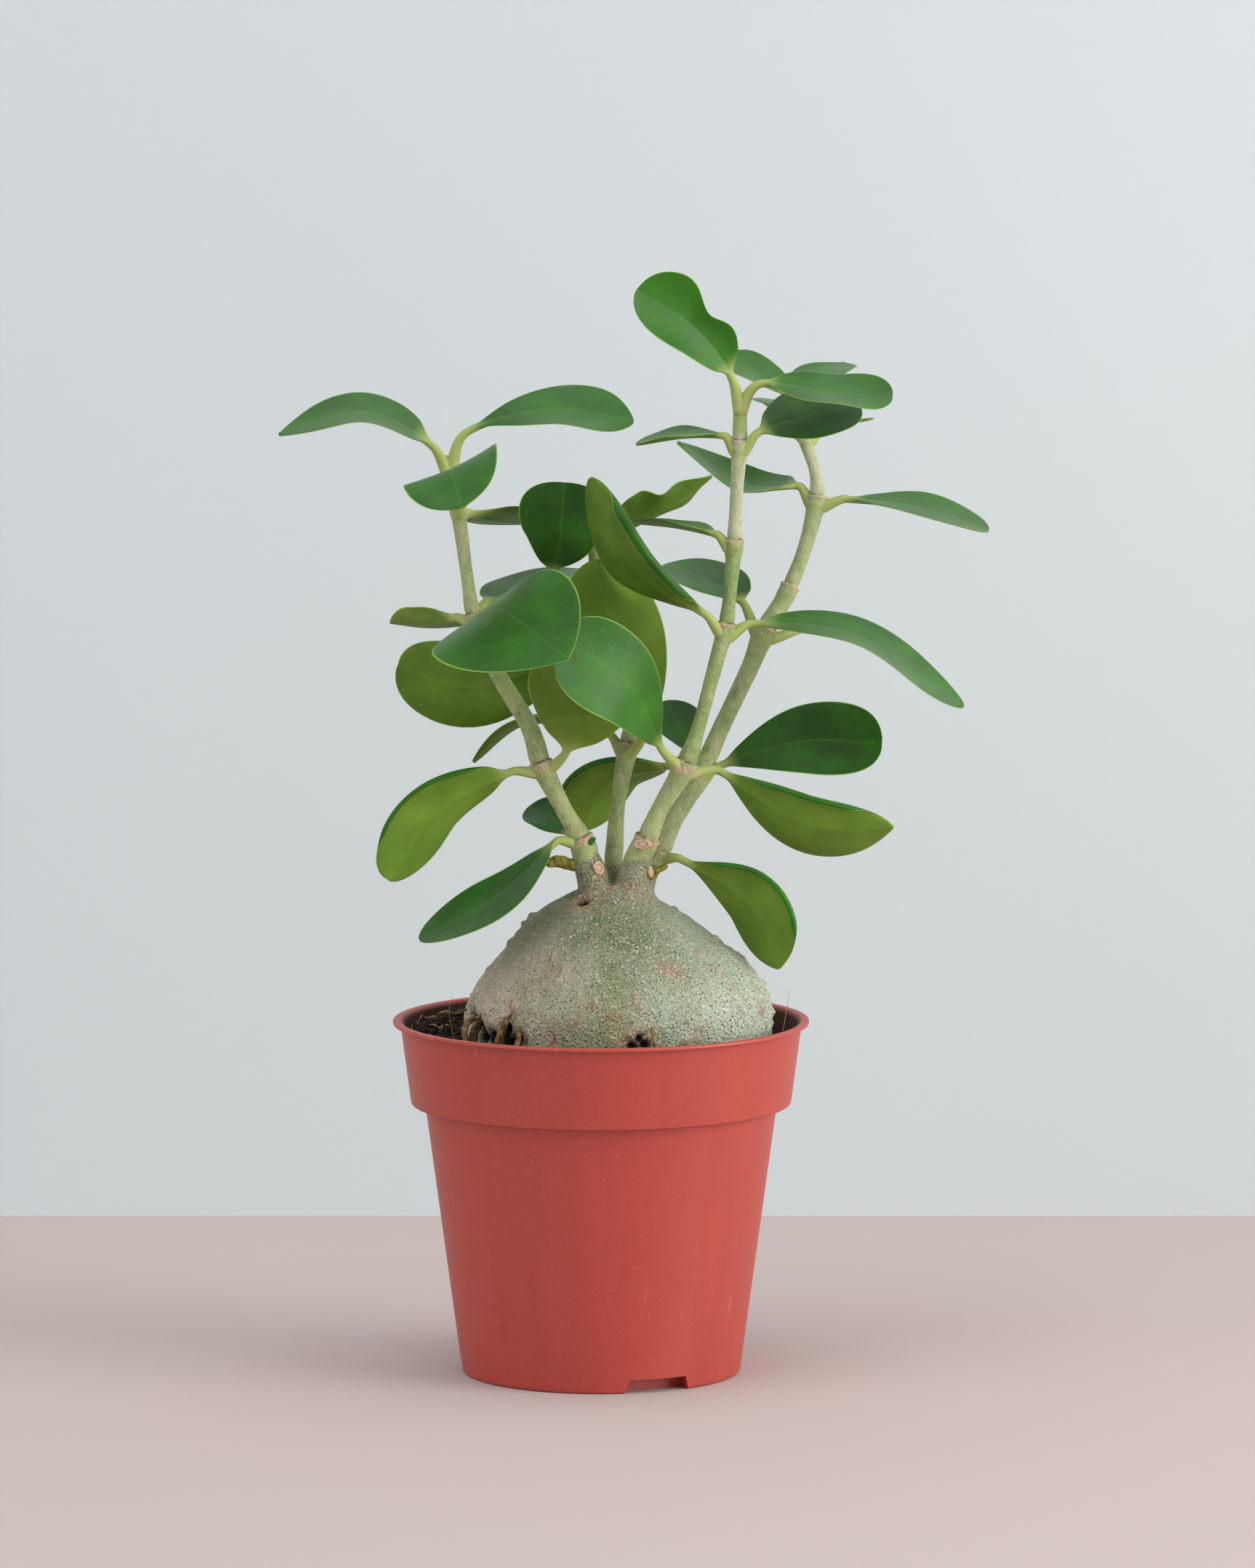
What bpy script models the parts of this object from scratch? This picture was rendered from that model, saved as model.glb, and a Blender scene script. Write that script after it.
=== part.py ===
"""A potted ant plant: a nursery pot, its soil, the swollen caudex, four stems and their leaves.

Metres, +Z up. The origin is the middle of the pot's underside, and the side with the drain
notch faces -Y. Plant points are written in millimetres and scaled by MM.
"""

import math
from dataclasses import dataclass

import bmesh
import bpy
from mathutils import Matrix, Vector, noise

MM = 0.001

# Pot, in metres
POT_HEIGHT = 0.1025
POT_WALL = 0.0012
BASE_RADIUS = 0.0402
BASE_ROUNDING = 0.0010
BODY_TOP_RADIUS = 0.0508
COLLAR_BOTTOM = 0.0782
COLLAR_BOTTOM_RADIUS = 0.0548
COLLAR_TOP_RADIUS = 0.0580
LIP_RADIUS = 0.0600
LIP_HEIGHT = 0.0011
LIP_INNER_RADIUS = 0.0579
POT_SEGMENTS = 48

# Drain notches round the foot of the pot, in metres and degrees
NOTCH_COUNT = 3
NOTCH_FIRST_HEADING = -65.8
NOTCH_BOTTOM_WIDTH = 0.0212
NOTCH_TOP_WIDTH = 0.0176
NOTCH_HEIGHT = 0.0040
NOTCH_DEPTH = 0.0065
DRAIN_SLOT_WIDTH = 0.0100
DRAIN_SLOT_DEPTH = 0.0030

# Soil, in metres
CLEARANCE = 0.0003
SOIL_RIGHT_LEVEL = 0.0885
SOIL_LEFT_RISE = 0.0075
SOIL_LUMP = 0.0012
SOIL_SEGMENTS = 32

# Caudex and neck, bottom to top: height, left side, right side in millimetres, and depth as a share of width
CAUDEX_OUTLINE = (
    (73.5, -10.0, 19.0, 0.93), (77.0, -21.0, 30.0, 0.93), (83.0, -31.0, 40.5, 0.93),
    (90.0, -37.0, 46.5, 0.93), (97.0, -39.3, 49.0, 0.93), (103.0, -39.2, 49.4, 0.93),
    (109.0, -37.8, 48.8, 0.93), (114.8, -34.1, 45.4, 0.93), (120.5, -29.9, 40.4, 0.93),
    (126.6, -24.9, 32.4, 0.93), (131.0, -21.2, 26.2, 0.92), (134.5, -17.0, 20.6, 0.90),
    (137.5, -11.8, 16.6, 0.86), (139.8, -7.4, 15.4, 0.82), (142.4, -6.8, 15.6, 0.80),
    (145.2, -7.4, 16.6, 0.80),
)
CAUDEX_LUMP = 0.0010
CAUDEX_SEGMENTS = 32

# Stem centre lines, bottom to top: x, y, z and radius, in millimetres
STEM_SIDES = 8
STEM_STEPS = 2
STEMS = {
    "a": (
        (-2.6, -2.6, 142.2, 2.3), (-2.9, -2.7, 145.4, 3.0), (-4.2, -3, 149.2, 4.0),
        (-5.8, -3, 155.5, 3.1), (-10.2, -4, 163, 2.5),
        (-16.9, -5, 176.5, 3.0), (-20.6, -5, 188, 2.6), (-30, -5, 204, 2.4), (-36.2, -6, 219.5, 2.4),
        (-38.1, -6, 230, 1.8), (-40.9, -6, 250.5, 2.1), (-43.2, -6, 261.5, 1.9), (-43.8, -6, 266, 1.1),
    ),
    "b": (
        (3.2, 4.6, 142.2, 1.9), (3.4, 5.4, 146.4, 2.5), (3.9, 6.6, 152, 2.6), (4.8, 8, 164, 2.2),
        (7.5, 10, 179.5, 2.8),
        (8.2, 10, 187, 1.9), (6.5, 10, 201, 1.9), (2.5, 10, 214, 2.3), (-1.9, 8, 236, 1.8),
        (-1.7, 8, 247, 1.2),
    ),
    "c": (
        (8.4, -3, 142.2, 2.4), (8.8, -3.2, 145.4, 3.0), (10.2, -4.2, 149, 3.9),
        (13.2, -6, 155.5, 3.2), (17, -7, 164.5, 2.5),
        (23.8, -9, 176.5, 3.1), (27.9, -9, 188, 2.0), (33.5, -10, 209, 2.2), (35.6, -10, 216.5, 2.4),
        (36.8, -10, 226, 1.9), (38.1, -10, 240.5, 2.3), (38.5, -10, 251, 1.8), (39.5, -10, 268.5, 2.2),
        (39.7, -10, 278, 1.9), (39.9, -10, 283, 1.1),
    ),
    "d": (
        (12.4, 2.6, 142.2, 1.8), (13.2, 2.8, 145.4, 2.2), (16.4, 4, 149.4, 3.1),
        (21, 6, 159.5, 2.6), (28.1, 9, 171.5, 2.9),
        (34.8, 12, 186, 2.5), (42.8, 15, 202.5, 2.6), (47, 17, 212.5, 3.1), (53.3, 19, 223.5, 2.4),
        (58.6, 22, 236, 2.1), (62.2, 25, 250, 2.5), (62, 26, 258, 1.7), (59.3, 28, 267, 1.7),
        (56.6, 30, 278, 1.1),
    ),
}

# Leaves
BLADE_THICKNESS = 0.8
PETIOLE_RADIUS = 1.15
KEEL = 0.7
LEAF_COLUMNS = (-1.0, -0.55, 0.0, 0.55, 1.0)
BLADE_ROWS = (0.0, 0.1, 0.24, 0.39, 0.53, 0.67, 0.8, 0.91, 0.98)
DENT_SHARE = 0.46
DENT_SPREAD = 0.14


@dataclass(frozen=True)
class Leaf:
    """One leaf: where its petiole meets a stem, and the points its midrib passes, in millimetres."""

    name: str
    stem: str
    node_z: float
    neck: tuple
    middle: tuple
    tip: tuple
    width: float
    face: tuple
    cup: float = 1.5
    twist: float = 0.0
    widest: float = 0.58
    blunt: float = 0.55
    lean: float = 0.0
    dent: float = 0.0


LEAVES = (
    Leaf("leaf_a1", "a", 260, (-48.6, -7.5, 269.3), (-68, -8, 278.6), (-92, -8, 272), 25, (0, -29, 95),
         widest=0.45, blunt=0.8),
    Leaf("leaf_a2", "a", 260, (-38, -6, 272.8), (-14, -6, 279.2), (9.5, -6, 275.5), 27, (0, -43, 90),
         widest=0.66, blunt=0.75),
    Leaf("leaf_a3", "a", 251, (-41, -15, 257), (-42, -33, 264), (-39, -51, 255), 29, (-38, -30, 88),
         widest=0.5, blunt=0.45),
    Leaf("leaf_a4", "a", 250, (-37, 4, 248.5), (-27, 24, 244.8), (-18, 46, 242), 26, (0, 42, 88),
         widest=0.42),
    Leaf("leaf_a5", "a", 220, (-42, 0, 219), (-49, 10, 216.6), (-61, 20, 215.5), 18, (0, 55, 84),
         widest=0.42, blunt=0.9),
    Leaf("leaf_a6", "a", 219, (-35, -15, 221), (-27, -34, 223.5), (-9, -56, 212.5), 45, (-40, -45, 90),
         widest=0.42, blunt=0.9),
    Leaf("leaf_a7", "a", 221, (-33, 4, 223), (-21, 22, 226), (-6, 38, 229), 24, (0, 0, 100)),
    Leaf("leaf_a8", "a", 176, (-26, -7, 175), (-46.5, -10, 164.6), (-61.5, -12, 144.6), 26, (-40, 70, 60),
         widest=0.62, blunt=0.45),
    Leaf("leaf_a9", "a", 177, (-10, -9, 181), (-5, -18, 198), (-6, -24, 217), 32, (0, 80, 60)),
    Leaf("leaf_a10", "a", 155.5, (-13, -6.5, 154.8), (-28.5, -12, 140.8), (-52, -16, 127.5), 24, (-40, -38, 80),
         widest=0.6, blunt=0.6, lean=-0.2),
    Leaf("leaf_a11", "a", 156, (-9, 3, 156), (-14, 12, 159.5), (-21, 20, 161.5), 14, (20, -85, 40)),
    Leaf("leaf_b1", "b", 180, (12, 4, 185), (5, -3, 209), (-2, -5, 236), 29, (0, 100, 10)),
    Leaf("leaf_b2", "b", 180, (2, 12, 184), (-21, 12, 187.5), (-37, 14, 175.5), 18, (0, 10, 99)),
    Leaf("leaf_b3", "b", 214, (-5, 9, 210), (-36, 6, 198.5), (-58.5, 4, 205), 26, (0, 95, 25),
         widest=0.63, blunt=0.42),
    Leaf("leaf_b4", "b", 227, (-13, 3, 231.6), (-11.5, -1, 243), (-10.5, 2, 257.6), 25, (0, -90, 30),
         widest=0.68, blunt=0.42),
    Leaf("leaf_b5", "b", 245, (3, 8, 247), (17, 12, 249), (32, 14, 258.5), 17, (-20, 50, 80),
         widest=0.32, blunt=0.8),
    Leaf("leaf_c1", "c", 178, (17.5, -16, 182.5), (8, -34, 203.3), (-11.5, -42, 217), 27, (0, -80, 50),
         widest=0.68, blunt=0.42),
    Leaf("leaf_c2", "c", 175, (19, 13, 174.5), (2, 24, 169), (-6, 34, 153), 24, (-30, 70, 60)),
    Leaf("leaf_c3", "c", 176, (34, -4, 175), (59, -8, 160.5), (84, -10, 159.5), 25, (0, 75, 65),
         blunt=0.68, lean=-0.15),
    Leaf("leaf_c4", "c", 217, (30, -14, 221), (10, -20, 235.6), (-3, -18.5, 260.8), 27, (50, 50, 60),
         blunt=0.7, lean=0.25),
    Leaf("leaf_c5", "c", 216, (43, -9, 218), (74, -8, 214.2), (103, -6, 192.5), 26, (10, -24, 92)),
    Leaf("leaf_c6", "c", 241, (33, -9, 243.7), (22, -3, 245.6), (9, 4, 246), 18, (0, 8, 99)),
    Leaf("leaf_c7", "c", 269, (45, -11, 273), (59, -6, 277), (74, 0, 280), 23, (0, -60, 80)),
    Leaf("leaf_c8", "c", 269, (35, -10, 272), (24, -10, 272), (10, -10, 269.5), 17, (0, -8, 99),
         blunt=0.75),
    Leaf("leaf_c9", "c", 280, (36.9, -13, 289.4), (26.5, -18, 303.5), (10, -24, 314), 20.5, (-35, -75, 50),
         cup=3, widest=0.62, blunt=0.42, lean=0.08, dent=0.55),
    Leaf("leaf_c10", "c", 280, (46, -12, 287), (65, -14, 284.6), (83, -14, 282.5), 25, (0, -34, 94),
         widest=0.66, blunt=0.42),
    Leaf("leaf_d1", "d", 150, (23, 0, 149), (43, -4, 137), (51.3, -6, 117.8), 25.5, (45, 75, 45),
         widest=0.68, blunt=0.45),
    Leaf("leaf_d2", "d", 172, (34, 8, 175), (58, 8, 182), (81, 6, 181.4), 26, (0, -75, 65),
         widest=0.7, blunt=0.45),
    Leaf("leaf_d3", "d", 172, (26, 14, 178), (22.5, 24, 185), (19, 34, 191), 14, (0, -50, 70)),
    Leaf("leaf_d4", "d", 213, (41, 22, 221), (32, 32, 226), (19, 44, 230), 25, (0, -20, 97)),
    Leaf("leaf_d5", "d", 213, (57, 22, 213), (66, 36, 213), (76, 50, 209), 24, (0, -10, 99)),
    Leaf("leaf_d6", "d", 250, (57, 27, 254.5), (42, 32, 254.5), (22, 36, 266.5), 25, (0, -15, 98),
         widest=0.38, blunt=0.9),
    Leaf("leaf_d7", "d", 250, (71, 24, 251), (92, 22, 248.5), (112, 20, 242), 24, (0, -18, 98),
         widest=0.64),
    Leaf("leaf_d8", "d", 270, (53.5, 34, 274.5), (55, 48, 276.5), (54, 66, 276), 22, (0, 5, 99)),
    Leaf("leaf_d9", "d", 268, (63.5, 31, 270.5), (69, 44, 271.5), (73, 56, 271), 20, (0, 5, 99)),
    Leaf("leaf_d10", "d", 275, (54, 32.5, 280.4), (45, 36, 286.4), (34.5, 40, 291.3), 21, (0, -20, 97)),
    Leaf("leaf_d11", "d", 273, (59, 34, 281), (64, 45, 285), (71, 56, 288), 20, (0, 5, 99),
         blunt=0.9),
)

# Surface roots on the left of the caudex, and the dried shoot on its neck
ROOT_SIDES = 8
ROOT_FOOT_Z = 89.0


@dataclass(frozen=True)
class Root:
    """One surface root: heading in degrees, height and radius in millimetres, and how far it bows out."""

    name: str
    heading: float
    top_z: float
    radius: float
    bow: float


ROOTS = (
    Root("root_1", 205, 108, 1.6, 3.0),
    Root("root_2", 222, 109, 1.3, 2.0),
    Root("root_3", 233, 104, 1.1, 1.4),
)
STUB = ((-8.8, -4, 147.9, 1.7), (-12, -5, 148.9, 1.8), (-16.6, -6, 148.5, 1.1))


def clear_scene():
    """Remove every object of the open scene."""
    for obj in list(bpy.data.objects):
        bpy.data.objects.remove(obj, do_unlink=True)


def make_material(name, colour, roughness):
    """A plain finish with the part's colour."""
    material = bpy.data.materials.new(name)
    material.use_nodes = True
    shader = material.node_tree.nodes["Principled BSDF"]
    shader.inputs["Base Color"].default_value = (*colour, 1.0)
    shader.inputs["Roughness"].default_value = roughness
    shader.inputs["Metallic"].default_value = 0.0
    return material


def make_materials():
    """The finishes by name."""
    return {
        "pot": make_material("pot_plastic", (0.42, 0.065, 0.045), 0.45),
        "soil": make_material("soil", (0.03, 0.02, 0.015), 0.95),
        "caudex": make_material("caudex_skin", (0.30, 0.34, 0.22), 0.8),
        "stem": make_material("stem_bark", (0.30, 0.36, 0.18), 0.65),
        "root": make_material("root_bark", (0.20, 0.13, 0.08), 0.85),
        "upper": make_material("leaf_upper", (0.05, 0.16, 0.03), 0.35),
        "under": make_material("leaf_under", (0.16, 0.28, 0.05), 0.5),
    }


def add_object(name, mesh, materials):
    """An object of the mesh, shaded smooth but for its sharp edges."""
    for material in materials:
        mesh.materials.append(material)
    mesh.shade_smooth()
    mesh.set_sharp_from_angle(angle=math.radians(40))
    obj = bpy.data.objects.new(name, mesh)
    bpy.context.scene.collection.objects.link(obj)
    return obj


def skin(name, rings, mirrored=()):
    """A closed mesh through rings of equally many points; columns in mirrored take the other diagonal."""
    bm = bmesh.new()
    rows = [[bm.verts.new(point) for point in ring] for ring in rings]
    count = len(rings[0])
    for low, high in zip(rows, rows[1:]):
        for k in range(count):
            after = (k + 1) % count
            a, b, c, d = low[k], low[after], high[after], high[k]
            pairs = ((a, b, d), (b, c, d)) if k in mirrored else ((a, b, c), (a, c, d))
            for corners in pairs:
                bm.faces.new(corners)
    bm.faces.new(list(reversed(rows[0])))
    bm.faces.new(rows[-1])
    bmesh.ops.recalc_face_normals(bm, faces=bm.faces)
    mesh = bpy.data.meshes.new(name)
    bm.to_mesh(mesh)
    bm.free()
    return mesh


def circle(centre, across, over, radius, sides, over_radius=None):
    """Points round a circle or, with a second radius, an ellipse."""
    second = radius if over_radius is None else over_radius
    turns = [2 * math.pi * (k + 0.5) / sides for k in range(sides)]
    return [centre + across * (radius * math.cos(t)) + over * (second * math.sin(t)) for t in turns]


def level_ring(radius, z, sides):
    """A horizontal circle about the pot's axis."""
    return circle(Vector((0, 0, z)), Vector((1, 0, 0)), Vector((0, 1, 0)), radius, sides)


def smooth_path(points, steps):
    """Points of a Catmull-Rom curve through the given ones, with steps to each span."""
    ends = [points[0] * 2 - points[1], *points, points[-1] * 2 - points[-2]]
    found = []
    for p0, p1, p2, p3 in zip(ends, ends[1:], ends[2:], ends[3:]):
        for step in range(steps):
            t = step / steps
            found.append(
                (p1 * 2 + (p2 - p0) * t + (p0 * 2 - p1 * 5 + p2 * 4 - p3) * t**2
                 + (p1 * 3 - p0 - p2 * 3 + p3) * t**3) / 2
            )
    found.append(points[-1].copy())
    return found


def tangents(centres):
    """The unit direction of travel at each point of a line."""
    befores = [centres[0], *centres[:-1]]
    afters = [*centres[1:], centres[-1]]
    return [(after - before).normalized() for before, after in zip(befores, afters)]


def square_to(vector, tangent):
    """The unit part of a vector that is square to a tangent."""
    return (vector - tangent * vector.dot(tangent)).normalized()


def carried(normal, ways, start):
    """A normal given at one point of a line, carried both ways along it without spin."""
    normals = [None] * len(ways)
    normals[start] = square_to(normal, ways[start])
    for i in range(start + 1, len(ways)):
        normals[i] = square_to(normals[i - 1], ways[i])
    for i in range(start - 1, -1, -1):
        normals[i] = square_to(normals[i + 1], ways[i])
    return normals


def tube(name, points, sides, steps, grow=0.0):
    """A tapering round bar along x, y, z, radius points in millimetres, fattened by grow metres."""
    path = smooth_path([Vector(point) * MM for point in points], steps)
    centres = [point.to_3d() for point in path]
    ways = tangents(centres)
    centres[0] -= ways[0] * grow
    centres[-1] += ways[-1] * grow
    normals = carried(Vector((0.3, -1, 0.2)), ways, 0)
    rings = [
        circle(centre, normal, way.cross(normal), point.w + grow, sides)
        for centre, normal, way, point in zip(centres, normals, ways, path)
    ]
    return skin(name, rings)


def cut(obj, cutter, operation="DIFFERENCE"):
    """Add a Boolean of a hidden helper to an object."""
    cutter.hide_render = True
    cutter.display_type = "WIRE"
    modifier = obj.modifiers.new(cutter.name, "BOOLEAN")
    modifier.operation = operation
    modifier.solver = "EXACT"
    modifier.object = cutter


def body_radius(z):
    """The outer radius of the pot's tapered body at a height."""
    return BASE_RADIUS + (BODY_TOP_RADIUS - BASE_RADIUS) * z / COLLAR_BOTTOM


def collar_radius(z):
    """The outer radius of the pot's collar at a height."""
    share = (z - COLLAR_BOTTOM) / (POT_HEIGHT - COLLAR_BOTTOM)
    return COLLAR_BOTTOM_RADIUS + (COLLAR_TOP_RADIUS - COLLAR_BOTTOM_RADIUS) * share


def pot_profile():
    """Radius and height from the middle of the underside, up the outside and down the inside."""
    rounding = BASE_ROUNDING
    lip_bottom = POT_HEIGHT - LIP_HEIGHT
    inner_step = COLLAR_BOTTOM + POT_WALL
    return (
        (0.012, 0.0),
        (BASE_RADIUS - rounding, 0.0),
        (BASE_RADIUS - 0.3 * rounding, 0.3 * rounding),
        (body_radius(rounding), rounding),
        (body_radius(COLLAR_BOTTOM), COLLAR_BOTTOM),
        (COLLAR_BOTTOM_RADIUS - 0.6 * rounding, COLLAR_BOTTOM),
        (COLLAR_BOTTOM_RADIUS, COLLAR_BOTTOM + 0.6 * rounding),
        (collar_radius(lip_bottom), lip_bottom),
        (LIP_RADIUS - 0.2 * rounding, lip_bottom),
        (LIP_RADIUS, lip_bottom + 0.4 * rounding),
        (LIP_RADIUS - 0.3 * rounding, POT_HEIGHT),
        (LIP_INNER_RADIUS, POT_HEIGHT),
        (collar_radius(lip_bottom) - POT_WALL, lip_bottom),
        (collar_radius(inner_step) - POT_WALL, inner_step),
        (body_radius(inner_step) - POT_WALL, inner_step),
        (body_radius(POT_WALL) - POT_WALL, POT_WALL),
        (0.012, POT_WALL),
    )


def notch_blocks(name, grow, past):
    """One wedge-sided block for each drain notch, larger by grow and reaching past the wall's outside."""
    inner = BASE_RADIUS - NOTCH_DEPTH - grow
    bottom = -0.002 if grow == 0 else 0.5 * POT_WALL
    edges = ((0.5 * NOTCH_BOTTOM_WIDTH + grow, bottom), (0.5 * NOTCH_TOP_WIDTH + grow, NOTCH_HEIGHT + grow))
    bm = bmesh.new()
    for index in range(NOTCH_COUNT):
        turn = Matrix.Rotation(math.radians(NOTCH_FIRST_HEADING + index * 360 / NOTCH_COUNT), 4, "Z")
        rings = []
        for share in (-1.0, -0.5, 0.0, 0.5, 1.0):
            near = [Vector((inner, share * half, z)) for half, z in edges]
            far = [
                Vector((math.sqrt((body_radius(z) + past) ** 2 - (share * half) ** 2), share * half, z))
                for half, z in edges
            ]
            rings.append([turn @ corner for corner in (near[0], far[0], far[1], near[1])])
        bm.from_mesh(skin(f"{name}_{index}", rings))
    mesh = bpy.data.meshes.new(name)
    bm.to_mesh(mesh)
    bm.free()
    return mesh


def drain_slots(name):
    """A slot through the roof of each drain notch."""
    bm = bmesh.new()
    centre = BASE_RADIUS - NOTCH_DEPTH + DRAIN_SLOT_DEPTH
    for index in range(NOTCH_COUNT):
        turn = Matrix.Rotation(math.radians(NOTCH_FIRST_HEADING + index * 360 / NOTCH_COUNT), 4, "Z")
        place = turn @ Matrix.Translation((centre, 0, NOTCH_HEIGHT))
        size = Matrix.Diagonal((DRAIN_SLOT_DEPTH, DRAIN_SLOT_WIDTH, 6 * POT_WALL, 1))
        bmesh.ops.create_cube(bm, size=1.0, matrix=place @ size)
    mesh = bpy.data.meshes.new(name)
    bm.to_mesh(mesh)
    bm.free()
    return mesh


def make_pot(materials):
    """The moulded pot with its lip, collar and three drain notches."""
    rings = [level_ring(radius, z, POT_SEGMENTS) for radius, z in pot_profile()]
    pot = add_object("pot", skin("pot", rings), [materials["pot"]])
    ribs = add_object("notch_ribs", notch_blocks("notch_ribs", POT_WALL, -0.5 * POT_WALL), [])
    notches = add_object("notch_cutters", notch_blocks("notch_cutters", 0.0, 3 * POT_WALL), [])
    slots = add_object("slot_cutters", drain_slots("slot_cutters"), [])
    cut(pot, ribs, "UNION")
    cut(pot, notches)
    cut(pot, slots)
    return pot


def soil_level(x, y):
    """The height of the soil: higher on the left and at the back, and crumbly."""
    lean = max(-1.0, min(1.0, (0.7 * y - x) / 0.05))
    lump = noise.noise(Vector((x, y, 0)) * 90) + 0.5 * noise.noise(Vector((x, y, 7)) * 210)
    return SOIL_RIGHT_LEVEL + SOIL_LEFT_RISE * (0.5 + 0.5 * lean) + SOIL_LUMP * lump


def soil_ring(radius):
    """A ring of the soil's top, each point at its own level."""
    flat = level_ring(radius, 0.0, SOIL_SEGMENTS)
    return [Vector((p.x, p.y, soil_level(p.x, p.y))) for p in flat]


def make_soil(materials):
    """The potting mix, which fills the pot to a little below its rim."""
    step = COLLAR_BOTTOM + POT_WALL + CLEARANCE
    skin_gap = POT_WALL + CLEARANCE
    outer = collar_radius(0.086) - skin_gap
    walls = (
        (0.012, POT_WALL + CLEARANCE),
        (body_radius(0.0) - skin_gap, POT_WALL + CLEARANCE),
        (body_radius(COLLAR_BOTTOM) - skin_gap, step),
        (collar_radius(step) - skin_gap, step),
    )
    rings = [level_ring(radius, z, SOIL_SEGMENTS) for radius, z in walls]
    rings += [soil_ring(outer * share) for share in (1.0, 0.93, 0.84, 0.74, 0.62, 0.5, 0.36, 0.2)]
    return add_object("soil", skin("soil", rings), [materials["soil"]])


def caudex_at(z):
    """The half width, the sideways centre and the depth share of the caudex at a height in millimetres."""
    pairs = zip(CAUDEX_OUTLINE, CAUDEX_OUTLINE[1:])
    low, high = next(pair for pair in pairs if z <= pair[1][0])
    share = (z - low[0]) / (high[0] - low[0])
    left, right, depth = (a + (b - a) * share for a, b in zip(low[1:], high[1:]))
    return 0.5 * (right - left), 0.5 * (right + left), depth


def caudex_ring(z, grow):
    """A lumpy ring of the caudex at a height in millimetres, fattened by grow metres."""
    half, middle, depth = caudex_at(z)
    centre = Vector((middle, 0, z)) * MM
    points = circle(
        centre, Vector((1, 0, 0)), Vector((0, 1, 0)), half * MM, CAUDEX_SEGMENTS, half * depth * MM
    )
    found = []
    for point in points:
        lump = noise.noise(point * 70) + 0.5 * noise.noise(point * 160)
        found.append(point + (point - centre).normalized() * (CAUDEX_LUMP * lump + grow))
    return found


def caudex_mesh(name, grow=0.0):
    """The caudex and its fused neck, fattened by grow metres all round."""
    rings = [caudex_ring(row[0], grow) for row in CAUDEX_OUTLINE]
    rings[0] = [point - Vector((0, 0, grow)) for point in rings[0]]
    return skin(name, rings)


def make_stems(materials):
    """The four stems, and a slightly fatter cutter of each for its socket."""
    cutters = []
    for key, points in STEMS.items():
        name = f"stem_{key}"
        add_object(name, tube(name, points, STEM_SIDES, STEM_STEPS), [materials["stem"]])
        socket = f"{name}_socket"
        cutters.append(add_object(socket, tube(socket, points, STEM_SIDES, STEM_STEPS, CLEARANCE), []))
    return cutters


def root_points(root):
    """The x, y, z and radius of a root that leaves the caudex at its top and bows out into the soil."""
    heading = math.radians(root.heading)
    points = []
    for share in (0.0, 0.3, 0.65, 1.0):
        z = ROOT_FOOT_Z + (root.top_z - ROOT_FOOT_Z) * share
        half, middle, depth = caudex_at(z)
        reach = half - 1.2 * root.radius + (root.bow + 1.6 * root.radius) * (1 - share) ** 0.6
        x = middle + reach * math.cos(heading)
        y = depth * reach * math.sin(heading)
        points.append((x, y, z, root.radius * (1.15 - 0.45 * share)))
    return points


def make_roots(materials):
    """The surface roots, and a slightly fatter cutter of each for its hole."""
    cutters = []
    for root in ROOTS:
        points = root_points(root)
        add_object(root.name, tube(root.name, points, ROOT_SIDES, STEM_STEPS), [materials["root"]])
        hole = f"{root.name}_hole"
        cutters.append(add_object(hole, tube(hole, points, ROOT_SIDES, STEM_STEPS, CLEARANCE), []))
    return cutters


def stem_at(key, z):
    """The centre, direction and radius of a stem at a height in millimetres."""
    path = smooth_path([Vector(point) * MM for point in STEMS[key]], 8)
    index = min(range(1, len(path) - 1), key=lambda i: abs(path[i].z - z * MM))
    way = (path[index + 1].to_3d() - path[index - 1].to_3d()).normalized()
    return path[index].to_3d(), way, path[index].w


def bezier(corners, t):
    """A point of the cubic curve with four corners."""
    a, b, c, d = corners
    s = 1 - t
    return a * s**3 + b * (3 * s * s * t) + c * (3 * s * t * t) + d * t**3


def half_width_share(leaf, along):
    """The share of its half width that a blade has at a share of its length."""
    rise = leaf.blunt * leaf.widest / (1 - leaf.widest)
    return (along / leaf.widest) ** rise * ((1 - along) / (1 - leaf.widest)) ** leaf.blunt


def edge_share(leaf, along, column):
    """The factor on the half width where one side of a blade is wider or is dented."""
    if column > 0:
        return 1 + leaf.lean - leaf.dent * math.exp(-(((along - DENT_SHARE) / DENT_SPREAD) ** 2))
    return 1 - leaf.lean


def leaf_section(leaf, centre, side, normal, along, columns):
    """The ring of one blade or petiole section, upper side from edge to edge, then the lower side back."""
    petiole = PETIOLE_RADIUS * MM
    if along <= 0:
        blend = 0.0
        half = petiole
    else:
        half = max(petiole, 0.5 * leaf.width * MM * half_width_share(leaf, along))
        blend = min(1.0, along / 0.2)
    fade = 1 - max(0.0, along)
    upper = []
    lower = []
    for index, column in enumerate(columns):
        turn = math.pi * (1 - (index + 0.5) / len(columns))
        round_across = side * (petiole * math.cos(turn))
        round_up = normal * (petiole * math.sin(turn))
        lift = leaf.cup * MM * (half / (0.5 * leaf.width * MM)) * column**2
        reach = half * edge_share(leaf, along, column)
        flat = centre + side * (reach * column) + normal * lift
        thick = 0.5 * BLADE_THICKNESS * MM
        keel = KEEL * MM * fade * max(0.0, 1 - 2 * abs(column))
        upper.append((centre + round_across + round_up).lerp(flat + normal * thick, blend))
        lower.append((centre + round_across - round_up).lerp(flat - normal * (thick + keel), blend))
    return upper + lower[::-1]


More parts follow.
